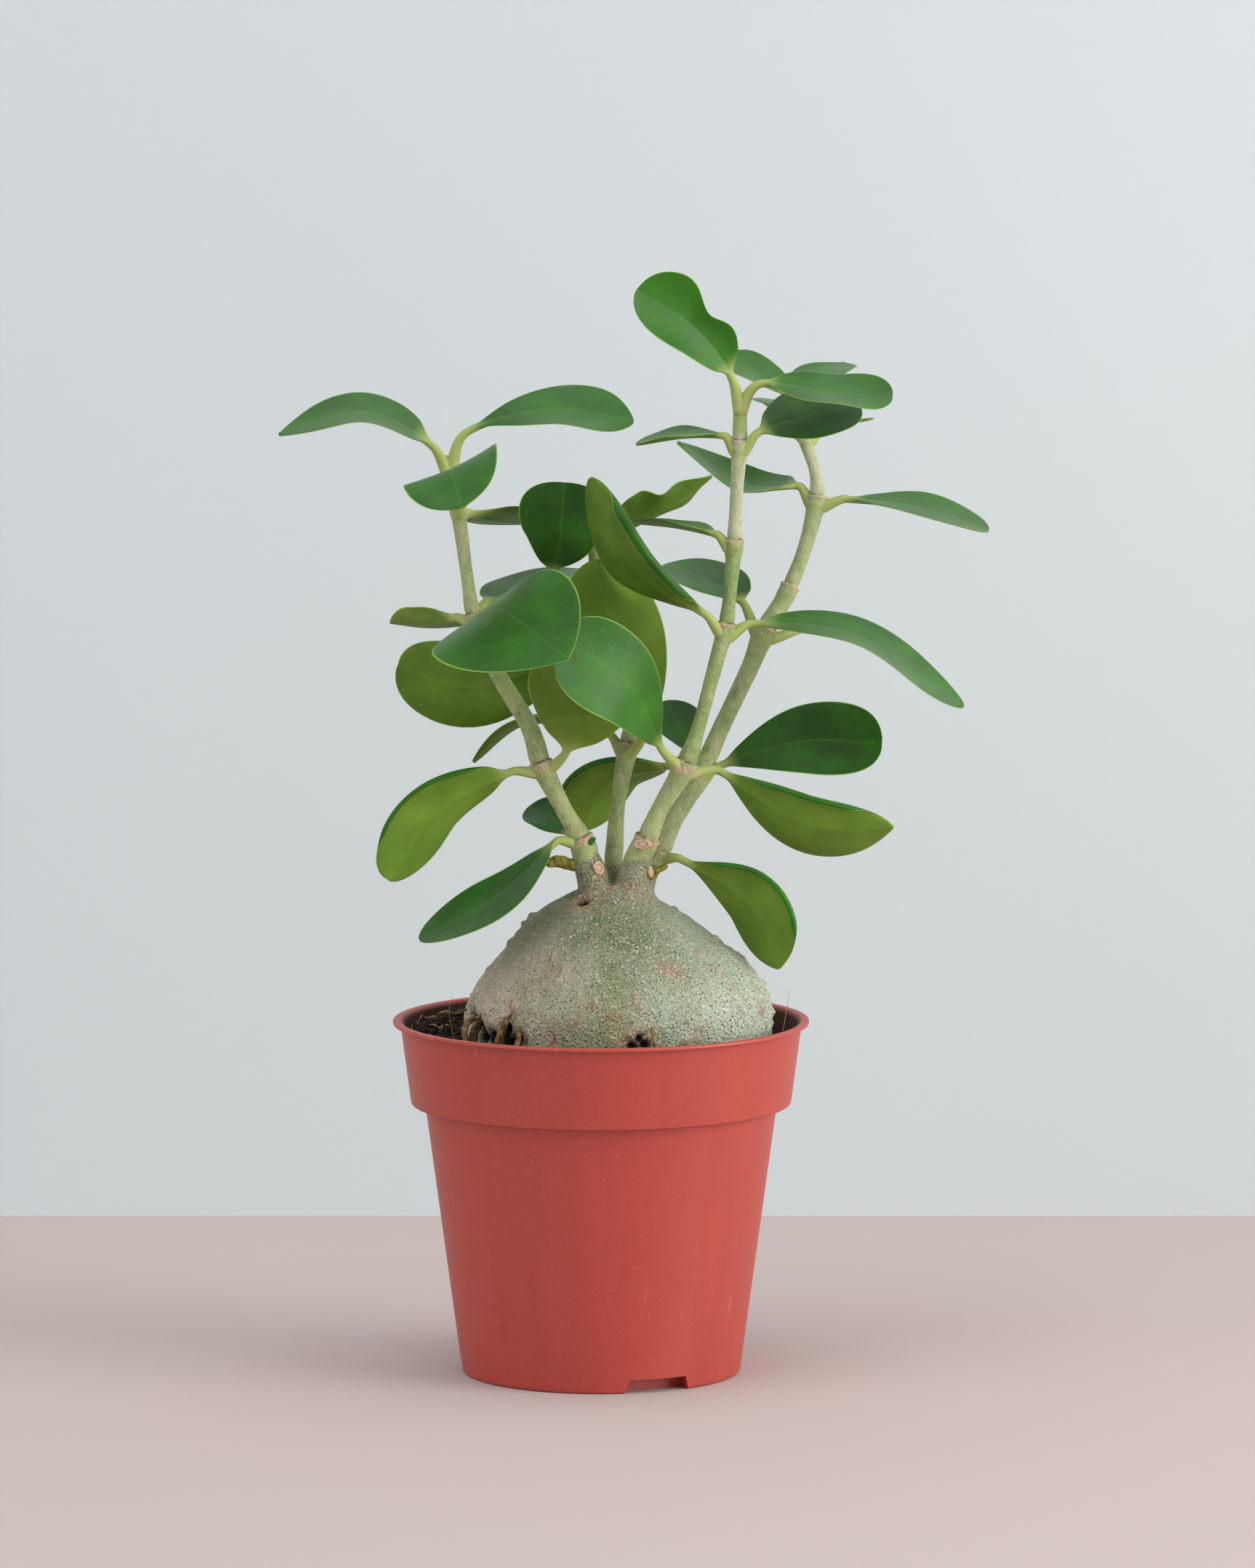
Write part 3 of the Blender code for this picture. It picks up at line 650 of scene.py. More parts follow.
def smooth_path(points: np.ndarray, steps: int) -> np.ndarray:
    """Run a Catmull-Rom curve through points.

    Args:
        points: one point a row.
        steps: points made for each span.

    Returns:
        The curve's points, one a row.
    """
    ends = np.vstack([2 * points[0] - points[1], points, 2 * points[-1] - points[-2]])
    t = (np.arange(steps) / steps)[:, None]
    spans = []
    for p0, p1, p2, p3 in zip(ends, ends[1:], ends[2:], ends[3:]):
        bend = (p0 * 2 - p1 * 5 + p2 * 4 - p3) * t**2 + (p1 * 3 - p0 - p2 * 3 + p3) * t**3
        spans.append((p1 * 2 + (p2 - p0) * t + bend) / 2)
    return np.vstack([*spans, points[-1:]])


def along_path(path: np.ndarray, shares: np.ndarray) -> np.ndarray:
    """Find points at shares of a path's length.

    Args:
        path: the path's points, one a row.
        shares: shares of the length, 0 to 1.

    Returns:
        One point for each share.
    """
    lengths = np.concatenate([[0.0], np.cumsum(np.linalg.norm(np.diff(path[:, :3], axis=0), axis=1))])
    places = shares * lengths[-1]
    return np.stack([np.interp(places, lengths, path[:, k]) for k in range(path.shape[1])], axis=1)


def tangents(centres: np.ndarray) -> np.ndarray:
    """Find the unit direction of travel at each point of a line."""
    padded = np.vstack([centres[:1], centres, centres[-1:]])
    return unit(padded[2:] - padded[:-2])


def carried(normal: np.ndarray, ways: np.ndarray, start: int) -> np.ndarray:
    """Carry a normal both ways along a line without spin.

    Args:
        normal: the normal at the starting point.
        ways: the line's unit directions.
        start: index of the starting point.

    Returns:
        Unit normals, one a row.
    """
    normals = np.zeros_like(ways)
    normals[start] = unit(normal - ways[start] * np.dot(normal, ways[start]))
    for order in (range(start + 1, len(ways)), range(start - 1, -1, -1)):
        for i in order:
            last = normals[i - 1] if i > start else normals[i + 1]
            normals[i] = unit(last - ways[i] * np.dot(last, ways[i]))
    return normals


def ring_faces(rows: int, columns: int) -> list[tuple[int, ...]]:
    """Join rows of rings into a closed body.

    Args:
        rows: number of rings.
        columns: points of a ring.

    Returns:
        The faces' point numbers, the two end caps last.
    """
    faces: list[tuple[int, ...]] = []
    for row in range(rows - 1):
        low = row * columns
        high = low + columns
        for k in range(columns):
            after = (k + 1) % columns
            faces.append((low + k, low + after, high + after, high + k))
    faces.append(tuple(range(columns - 1, -1, -1)))
    faces.append(tuple(range((rows - 1) * columns, rows * columns)))
    return faces


def note_values(mesh: bpy.types.Mesh, values: dict[str, np.ndarray]) -> None:
    """Keep numbers at each point of a mesh, by attribute name, for its finish to read."""
    for label, numbers in values.items():
        layer = mesh.attributes.new(label, "FLOAT", "POINT")
        layer.data.foreach_set("value", np.asarray(numbers, np.float32))


def mesh_of(
    name: str, points: np.ndarray, faces: Iterable[Sequence[int]], values: dict[str, np.ndarray] | None = None
) -> bpy.types.Mesh:
    """Make a smooth mesh that faces outwards.

    Args:
        name: the mesh's name.
        points: corners in metres, one a row.
        faces: point numbers of each face.
        values: numbers at each point, by attribute name.

    Returns:
        The mesh.
    """
    mesh = bpy.data.meshes.new(name)
    mesh.from_pydata(points.tolist(), [], list(faces))
    note_values(mesh, values or {})
    bm = bmesh.new()
    bm.from_mesh(mesh)
    bmesh.ops.recalc_face_normals(bm, faces=bm.faces)
    bm.to_mesh(mesh)
    bm.free()
    mesh.shade_smooth()
    return mesh


class Heap:
    """Many small bodies gathered into one mesh, with a shade for each."""

    def __init__(self) -> None:
        """Start without a body."""
        self.points: list[np.ndarray] = []
        self.faces: list[tuple[int, ...]] = []
        self.shades: list[np.ndarray] = []

    def add(self, points: np.ndarray, faces: Iterable[Sequence[int]], shade: float | np.ndarray) -> None:
        """Add a body.

        Args:
            points: its points in metres, one a row.
            faces: its faces, which count from its own first point.
            shade: one shade, or one for each point.
        """
        start = sum(len(part) for part in self.points)
        self.points.append(points)
        self.faces += [tuple(start + k for k in face) for face in faces]
        self.shades.append(np.broadcast_to(shade, len(points)))

    def mesh(self, name: str) -> bpy.types.Mesh:
        """Join the bodies into one mesh."""
        return mesh_of(name, np.vstack(self.points), self.faces, {"shade": np.concatenate(self.shades)})


def baked(obj: bpy.types.Object) -> bpy.types.Mesh:
    """Make a new mesh of a linked object with its modifiers applied."""
    graph = bpy.context.evaluated_depsgraph_get()
    return bpy.data.meshes.new_from_object(obj.evaluated_get(graph))


def loose_object(name: str, mesh: bpy.types.Mesh) -> bpy.types.Object:
    """Link a mesh to the scene as an object."""
    obj = bpy.data.objects.new(name, mesh)
    bpy.context.scene.collection.objects.link(obj)
    return obj


def combined(blank: bpy.types.Object, helpers: Sequence[tuple[bpy.types.Object, str]]) -> bpy.types.Mesh:
    """Join helper blocks to a blank or cut them from it, and clear the objects away.

    Args:
        blank: the object worked on.
        helpers: the blocks, each with its boolean operation.

    Returns:
        The finished mesh.
    """
    for helper, operation in helpers:
        modifier = blank.modifiers.new(helper.name, "BOOLEAN")
        modifier.operation = operation
        modifier.solver = "EXACT"
        modifier.object = helper
    mesh = baked(blank)
    for obj in (blank, *(helper for helper, _ in helpers)):
        bpy.data.objects.remove(obj, do_unlink=True)
    return mesh


def points_of(mesh: bpy.types.Mesh) -> np.ndarray:
    """Read a mesh's points in metres, one a row."""
    flat = np.empty(len(mesh.vertices) * 3)
    mesh.vertices.foreach_get("co", flat)
    return flat.reshape(-1, 3)


def noise_at(points: np.ndarray, scale: float, seed: float = 0.0) -> np.ndarray:
    """Read smooth noise, about -1 to 1, at points in metres, by its cells in a metre."""
    shift = Vector((seed, 2.3 * seed, -seed))
    return np.array([noise.noise(Vector(point) * scale + shift) for point in points])


def add_piece(
    name: str, mesh: bpy.types.Mesh, material: bpy.types.Material, nodes: Sequence[str] = ()
) -> bpy.types.Object:
    """Put a finished piece of the plant into the scene.

    Args:
        name: the piece's name.
        mesh: its mesh.
        material: its finish.
        nodes: the plain solids it stands for.

    Returns:
        The piece.
    """
    mesh.materials.clear()
    mesh.materials.append(material)
    obj = loose_object(name, mesh)
    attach(obj, "root")
    if nodes:
        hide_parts(*nodes)
    LOG.info("%s: %d faces", name, len(mesh.polygons))
    return obj


@dataclass
class Pot:
    """The moulded nursery pot. Sizes are in metres and degrees."""

    height: float = 0.1025
    wall: float = 0.0012
    base_radius: float = 0.0402
    rounding: float = 0.0010
    body_top_radius: float = 0.0508
    collar_bottom: float = 0.0782
    collar_bottom_radius: float = 0.0548
    collar_top_radius: float = 0.0580
    lip_radius: float = 0.0600
    lip_height: float = 0.0011
    lip_inner_radius: float = 0.0579
    centre_radius: float = 0.012
    segments: int = 176
    notch_headings: tuple[float, ...] = (-65.8, 54.2, 174.2)
    notch_half_widths: tuple[float, float] = (0.0106, 0.0088)
    notch_height: float = 0.0040
    notch_depth: float = 0.0065
    slot_size: tuple[float, float] = (0.0030, 0.0100)

    def body_radius(self, z: float) -> float:
        """Outer radius of the tapered body at a height."""
        return self.base_radius + (self.body_top_radius - self.base_radius) * z / self.collar_bottom

    def collar_radius(self, z: float) -> float:
        """Outer radius of the collar at a height."""
        share = (z - self.collar_bottom) / (self.height - self.collar_bottom)
        return self.collar_bottom_radius + (self.collar_top_radius - self.collar_bottom_radius) * share

    def corner(self, before: tuple, at: tuple, after: tuple, size: float) -> list[tuple[float, float]]:
        """Round one corner of the profile.

        Args:
            before: radius and height of the point before.
            at: the corner.
            after: the point after.
            size: how far from the corner the rounding starts.

        Returns:
            Five points round the corner.
        """
        a, b, c = (np.array(point) for point in (before, at, after))
        start = b + unit(a - b) * min(size, 0.45 * np.linalg.norm(a - b))
        end = b + unit(c - b) * min(size, 0.45 * np.linalg.norm(c - b))
        shares = np.linspace(0, 1, 5)[:, None]
        curve = start * (1 - shares) ** 2 + b * 2 * shares * (1 - shares) + end * shares**2
        return [tuple(point) for point in curve]

    def profile(self) -> list[tuple[float, float]]:
        """Outline from the middle of the underside, up the outside and down the inside.

        Returns:
            Radius and height of each point.
        """
        lip_bottom = self.height - self.lip_height
        step = self.collar_bottom + self.wall
        sharp = [
            (self.centre_radius, 0.0, 0.0), (self.base_radius, 0.0, self.rounding),
            (self.body_radius(self.collar_bottom), self.collar_bottom, 0.0003),
            (self.collar_bottom_radius, self.collar_bottom, 0.0008),
            (self.collar_radius(lip_bottom), lip_bottom, 0.0003),
            (self.lip_radius, lip_bottom, 0.0004), (self.lip_radius, self.height, 0.0005),
            (self.lip_inner_radius, self.height, 0.0004),
            (self.collar_radius(lip_bottom) - self.wall, lip_bottom, 0.0002),
            (self.collar_radius(step) - self.wall, step, 0.0005),
            (self.body_radius(step) - self.wall, step, 0.0005),
            (self.body_radius(self.wall) - self.wall, self.wall, 0.0008),
            (self.centre_radius, self.wall, 0.0),
        ]
        found = [sharp[0][:2]]
        for before, at, after in zip(sharp, sharp[1:], sharp[2:]):
            found += self.corner(before[:2], at[:2], after[:2], at[2])
        return [*found, sharp[-1][:2]]

    def blocks(self, name: str, grow: float, past: float) -> bpy.types.Object:
        """Make a wedge-sided block for each drain notch.

        Args:
            name: the object's name.
            grow: how much larger than the notch the blocks are.
            past: how far they reach past the wall's outside.

        Returns:
            The blocks.
        """
        low, high = (width + grow for width in self.notch_half_widths)
        bottom = -0.002 if grow == 0 else 0.5 * self.wall
        top = self.notch_height + grow
        shares = np.linspace(-1, 1, 9)
        points = []
        faces = []
        for heading in self.notch_headings:
            turn = np.array(Matrix.Rotation(math.radians(heading), 3, "Z"))
            first = 4 * len(points)
            for share in shares:
                ring = []
                for half, z, side in ((low, bottom, 0), (low, bottom, 1), (high, top, 1), (high, top, 0)):
                    y = share * half
                    far = math.sqrt((self.body_radius(z) + past) ** 2 - y * y)
                    ring.append((far if side else self.base_radius - self.notch_depth - grow, y, z))
                points.append(np.array(ring) @ turn.T)
            faces += [tuple(first + k for k in face) for face in ring_faces(len(shares), 4)]
        return loose_object(name, mesh_of(name, np.vstack(points), faces))

    def slots(self, name: str) -> bpy.types.Object:
        """Make a block for the slot in the roof of each notch.

        Args:
            name: the object's name.

        Returns:
            The blocks.
        """
        depth, width = self.slot_size
        bm = bmesh.new()
        for heading in self.notch_headings:
            turn = Matrix.Rotation(math.radians(heading), 4, "Z")
            reach = self.base_radius - self.notch_depth + depth
            place = turn @ Matrix.Translation((reach, 0, self.notch_height))
            size = Matrix.Diagonal((depth, width, 6 * self.wall, 1))
            bmesh.ops.create_cube(bm, size=1.0, matrix=place @ size)
        mesh = bpy.data.meshes.new(name)
        bm.to_mesh(mesh)
        bm.free()
        return loose_object(name, mesh)

    def build(self, finish: bpy.types.Material) -> None:
        """Turn the profile, cut the notches and dress the pot.

        Args:
            finish: the plastic.
        """
        turns = around(self.segments)
        rings = [level_ring(r * np.cos(turns), r * np.sin(turns), z) for r, z in self.profile()]
        blank = mesh_of("pot_blank", np.vstack(rings), ring_faces(len(rings), self.segments))
        helpers = [
            (self.blocks("notch_ribs", self.wall, -0.5 * self.wall), "UNION"),
            (self.blocks("notch_gaps", 0.0, 3 * self.wall), "DIFFERENCE"),
            (self.slots("drain_slots"), "DIFFERENCE"),
        ]
        mesh = combined(loose_object("pot_blank", blank), helpers)
        x, y, z = points_of(mesh).T
        outer = np.where(z < self.collar_bottom, self.body_radius(z), self.collar_radius(z))
        depth = (outer - np.hypot(x, y)) / self.wall
        # The inside mask darkens the inner wall: partly soil stain, partly painted shade.
        inside = ramp(depth, 0.15, 0.45) * (z > self.notch_height + 1.5 * self.wall)
        inside *= ramp(z, self.height - 0.0001, self.height - 0.0005)
        note_values(mesh, {"inside": inside})
        mesh.shade_smooth()
        mesh.set_sharp_from_angle(angle=SHARP_ANGLE)
        add_piece("nursery_pot", mesh, finish, ["pot"])


@dataclass
class Caudex:
    """The swollen base and the neck where the stems fuse. Sizes are in millimetres."""

    outline: tuple = (
        (73.5, -10.0, 19.0, 0.93), (77.0, -21.0, 30.0, 0.93), (83.0, -31.0, 40.5, 0.93),
        (90.0, -37.0, 46.5, 0.93), (97.0, -39.3, 49.0, 0.93), (103.0, -39.2, 49.4, 0.93),
        (109.0, -37.8, 48.8, 0.93), (114.8, -34.1, 45.4, 0.93), (120.5, -29.9, 40.4, 0.93),
        (126.6, -24.9, 32.4, 0.93), (131.0, -21.2, 26.2, 0.92), (134.5, -17.0, 20.6, 0.90),
        (137.5, -11.8, 16.6, 0.86), (139.8, -7.6, 15.2, 0.82),
    )
    middle_x: float = 4.8
    half_width: float = 44.5
    sides: int = 96
    levels: int = 60
    neck: tuple = (
        (136, 12.2, 3.6), (137.6, 10.9, 4.1), (139.4, 10.4, 4.3), (141, 10.2, 4.5), (142, 9.6, 4.6),
    )
    neck_depth: float = 0.72
    neck_sides: int = 40
    voxel: float = 0.7
    warts: int = 170
    wart_low: float = 96
    wart_span: float = 38
    wart_seed: int = 7
    holes: tuple = (
        (10.9, -41.0, 102.6, 1.5), (12.4, -41.2, 100.6, 2.2),
        (9.0, -41.0, 100.2, 2.2), (-14.3, -38.0, 103.2, 0.9),
        (-13.8, -38.4, 100.8, 1.0), (-5.2, -9.6, 138.0, 2.1), (3.6, -4.4, 147.2, 1.5),
    )
    hollows: tuple = (
        (-35.4, -18.0, 100.0, 3.4), (-32.0, -23.5, 99.4, 3.6),
        (-28.4, -27.2, 99.6, 3.6), (-25.0, -30.4, 99.6, 3.4),
        (-37.8, -13.0, 103.0, 3.0), (-38.6, -9.0, 105.0, 2.8), (-27.5, -28.0, 103.6, 2.0),
    )
    scabs: tuple = (
        (16.2, -30.4, 124.2, 2.4), (18.6, -29.4, 121.8, 3.2), (21.8, -28.4, 119.6, 2.8),
        (13.5, -40.5, 105.4, 2.4), (8.2, -41.0, 104.0, 2.2),
        (-1.8, -38.0, 111.5, 2.0), (-6.7, -37.8, 106.2, 2.1),
        (2.7, -38.8, 108.4, 2.3), (47.0, -14.0, 108.0, 3.4),
        (9.9, -39.0, 112.6, 1.6), (-23.7, -28.5, 113.5, 1.8), (29.0, -34.0, 104.0, 1.8),
        (-13.9, -37.5, 105.2, 1.5), (-25.2, -27.5, 110.6, 2.0),
        (-14.5, -27.0, 124.0, 2.4), (9.6, -7.2, 140.4, 2.6),
        (3.4, -6.4, 143.2, 1.6), (12.6, -5.6, 139.8, 2.2), (-6.4, -8.4, 139.8, 1.4), (-0.9, -6.6, 145.2, 1.5),
    )

    def at(self, z: float) -> tuple[float, float, float]:
        """Find the outline at a height.

        Args:
            z: the height.

        Returns:
            Half width, sideways centre and depth as a share of width.
        """
        rows = smooth_path(np.array(self.outline), 8)
        left, right, depth = (float(np.interp(z, rows[:, 0], rows[:, k])) for k in (1, 2, 3))
        return 0.5 * (right - left), 0.5 * (right + left), depth

    def dome(self) -> bpy.types.Mesh:
        """Make the closed dome before its lumps.

        Returns:
            The mesh.
        """
        turns = around(self.sides)
        rings = []
        for z in np.linspace(self.outline[0][0], self.outline[-1][0], self.levels):
            half, centre, depth = self.at(float(z))
            rings.append(level_ring(centre + half * np.cos(turns), depth * half * np.sin(turns), z))
        return mesh_of("dome", np.vstack(rings) * MM, ring_faces(len(rings), self.sides))

    def trunks(self) -> list[bpy.types.Mesh]:
        """Make the fused foot of the stems.

        Returns:
            One mesh for the neck and one for each stem's foot.
        """
        turns = around(self.neck_sides)
        rings = [
            level_ring(x + half * np.cos(turns), self.neck_depth * half * np.sin(turns), z)
            for z, half, x in self.neck
        ]
        found = [mesh_of("neck", np.vstack(rings) * MM, ring_faces(len(rings), self.neck_sides))]
        feet = {
            "a": ((-1.0, -2.5, 138, 5.2), (-1.9, -2.8, 141.5, 4.7), (-2.8, -3, 145.5, 4.5),
                  (-4.2, -3, 149.5, 4.0), (-5.4, -3, 153.2, 3.5), (-5.9, -3, 155.0, 3.9)),
            "c": ((8.8, -2.5, 138, 5.4), (9.0, -3.2, 141.5, 4.9), (9.6, -3.8, 145.5, 4.4),
                  (10.8, -4.4, 149.5, 4.0), (12.2, -5.4, 153.2, 3.6), (12.9, -5.8, 155.2, 3.9)),
            "d": ((11.6, 2, 138, 3.8), (12.4, 2.6, 141.5, 3.4), (13.8, 3.2, 145.4, 3.1),
                  (16.5, 4, 149.6, 3.3)),
            "b": ((3.0, 3.8, 137, 4.2), (3.2, 4.6, 142.6, 3.4), (3.5, 5.6, 146.4, 2.9)),
        }
        for key, points in feet.items():
            found.append(tube_mesh(f"foot_{key}", np.array(points), 24, 6))
        return found

    def blend(self) -> bpy.types.Mesh:
        """Fuse the dome and the trunks with soft inner corners.

        Returns:
            One closed mesh.
        """
        bm = bmesh.new()
        for part in (self.dome(), *self.trunks()):
            bm.from_mesh(part)
        joined = bpy.data.meshes.new("caudex_blank")
        bm.to_mesh(joined)
        bm.free()
        blank = loose_object("caudex_blank", joined)
        fuse = blank.modifiers.new("fuse", "REMESH")
        fuse.mode = "VOXEL"
        fuse.voxel_size = self.voxel * MM
        soften = blank.modifiers.new("soften", "SMOOTH")
        soften.factor = 0.5
        soften.iterations = 4
        mesh = baked(blank)
        bpy.data.objects.remove(blank, do_unlink=True)
        return mesh

    def near(self, points: np.ndarray, spot: tuple, reach: float = 1.0) -> np.ndarray:
        """Mask a round spot of x, y, z and radius, 1 in its middle and about 0 past its radius."""
        away = np.linalg.norm(points - np.array(spot[:3]), axis=1) / (spot[3] * reach)
        return np.exp(-(away**2) * 1.4)

    def raise_warts(self, mm: np.ndarray, raised: np.ndarray, scab: np.ndarray) -> None:
        """Add warts all over the dome, some of them scabbed.

        Args:
            mm: points in millimetres, one a row.
            raised: the relief in millimetres, changed in place.
            scab: the share of scab, changed in place.
        """
        dice = random.Random(self.wart_seed)
        for _ in range(self.warts):
            turn = dice.uniform(0, 2 * math.pi)
            z = self.wart_low + self.wart_span * dice.random() ** 1.5
            half, centre, depth = self.at(z)
            spot = (centre + half * math.cos(turn), depth * half * math.sin(turn), z, dice.uniform(0.8, 2.0))
            mask = self.near(mm, spot)
            raised += mask * dice.uniform(0.3, 1.15)
            if dice.random() < 0.45:
                np.maximum(scab, mask * dice.uniform(0.3, 0.8), out=scab)

    def stains(self, mm: np.ndarray, slow: np.ndarray, middle: np.ndarray) -> dict[str, np.ndarray]:
        """Spread the skin's colours by height and by side. Some of them are painted light and shade: the
        darker top, the pale right side, and part of the straw on the left flank and the neck.

        Args:
            mm: points in millimetres, one a row.
            slow: slow noise at each point.
            middle: quicker noise at each point.

        Returns:
            The share of each colour at each point, by attribute name.
        """
        height = mm[:, 2]
        side = (mm[:, 0] - self.middle_x) / self.half_width
        low = ramp(height, 126, 106)
        # Darker top: partly the skin's own olive, partly painted shade of the leaves, less on the lit right
        # side.
        crown_olive_and_shade = ramp(height, 112, 132) * (0.8 + 0.4 * middle) * (1 - 0.9 * np.clip(side, 0, 1))
        moss = 0.8 * ramp(height, 124, 112) * np.clip(1.3 - 1.4 * np.abs(side), 0, 1)
        # Straw on the left flank and at the neck: partly the skin's own beige, partly painted light.
        straw = np.clip(-side * 1.6 - 0.24 + 0.45 * slow, 0, 1) * 0.9 * (height < 138)
        return {
            "low": low,
            "mossy": moss + 0.6 * ramp(height, 141, 145),
            "crown_olive_and_shade": crown_olive_and_shade * (1 - 0.5 * ramp(height, 137, 141)),
            # Painted light on the right side, where the window lamp falls.
            "pale": np.clip(side * 1.4 + 0.05 + 0.3 * slow, 0, 1) * (0.5 + 0.5 * low) * (height < 142),
            "straw": straw + 0.12 * ramp(height, 134, 140),
            "netted": 0.6 + 0.3 * ramp(height, 108, 122) - 0.25 * ramp(height, 130, 138),
        }

    def build(self, finish: bpy.types.Material) -> None:
        """Raise the warts, sink the holes and dress the caudex.

        Args:
            finish: the skin.
        """
        mesh = self.blend()
        points = points_of(mesh)
        size = len(points)
        normals = np.empty(size * 3)
        mesh.vertices.foreach_get("normal", normals)
        mm = points / MM
        height = mm[:, 2]
        slow = noise_at(points, 70)
        middle = noise_at(points, 160)
        quick = noise_at(points, 330, 5.0)
        on_dome = np.clip((141 - height) / 6, 0.25, 1)
        raised = on_dome * ((slow + 0.5 * middle) * 0.8 + 0.16 * quick)
        scab = np.clip(noise_at(points, 95, 9.0) * 2.2 - 0.75, 0, 1) * ramp(height, 128, 98) * 0.5
        self.raise_warts(mm, raised, scab)
        patchy = np.clip(0.7 + 1.5 * noise_at(points, 760, 4.0), 0, 1)
        for spot in self.scabs:
            scab = np.maximum(scab, self.near(mm, spot, 1.3) * patchy)
            raised += 0.35 * self.near(mm, spot, 1.3) * quick
            raised += 0.7 * self.near(mm, spot, 0.8) * (spot[2] < 116)
        # The near black in the holes and the hollows is painted shade, standing in for their depth.
        hole_shade = np.zeros(size)
        sunk = np.zeros(size)
        ragged = 1 + 0.55 * quick + 0.35 * noise_at(points, 800, 2.0)
        for spot in self.holes:
            rim = self.near(mm, spot, 1.9) * ragged
            raised += 0.5 * rim
            scab = np.maximum(scab, np.clip(1.5 * rim, 0, 0.95))
            core = self.near(mm, spot, 0.85) * ragged
            sunk = np.maximum(sunk, 2.8 * np.clip(1.6 * core, 0, 1))
            hole_shade = np.maximum(hole_shade, np.clip(2.8 * core - 0.6, 0, 1))
        for spot in self.hollows:
            core = self.near(mm, spot) * np.maximum(ragged, 0.85)
            sunk = np.maximum(sunk, 3.6 * np.clip(1.6 * core, 0, 1))
            hole_shade = np.maximum(hole_shade, np.clip(4.0 * core - 0.8, 0, 1))
        raised -= sunk
        scab = np.maximum(scab, 0.75 * bell(height, 141.5, 2.6) * np.clip(0.35 + 0.9 * middle, 0, 1))
        moved = points + normals.reshape(-1, 3) * (raised * MM)[:, None]
        mesh.vertices.foreach_set("co", moved.ravel())
        note_values(mesh, {"scab": scab, "hole_shade": hole_shade, **self.stains(mm, slow, middle)})
        mesh.update()
        mesh.shade_smooth()
        add_piece("warty_caudex", mesh, finish, ["caudex"])


def tube_rings(path: np.ndarray, sides: int, swell: np.ndarray | None = None) -> np.ndarray:
    """Set rings round a path.

    Args:
        path: x, y, z and radius, one row a ring.
        sides: points of a ring.
        swell: length added to the radius at each point of each ring.

    Returns:
        Points, one a row, ring by ring.
    """
    centres = path[:, :3]
    ways = tangents(centres)
    normals = carried(np.array([0.3, -1.0, 0.2]), ways, 0)
    overs = np.cross(ways, normals)
    turns = 2 * math.pi * (np.arange(sides) + 0.5) / sides
    radius = path[:, 3:4] + (0 if swell is None else swell)
    across = np.cos(turns)[None, :] * radius
    over = np.sin(turns)[None, :] * radius
    rings = centres[:, None] + normals[:, None] * across[..., None] + overs[:, None] * over[..., None]
    return rings.reshape(-1, 3)


def tube_mesh(name: str, points: np.ndarray, sides: int, steps: int) -> bpy.types.Mesh:
    """Make a closed round bar along rows of x, y, z and radius in millimetres."""
    path = smooth_path(points, steps) * MM
    return mesh_of(name, tube_rings(path, sides), ring_faces(len(path), sides))


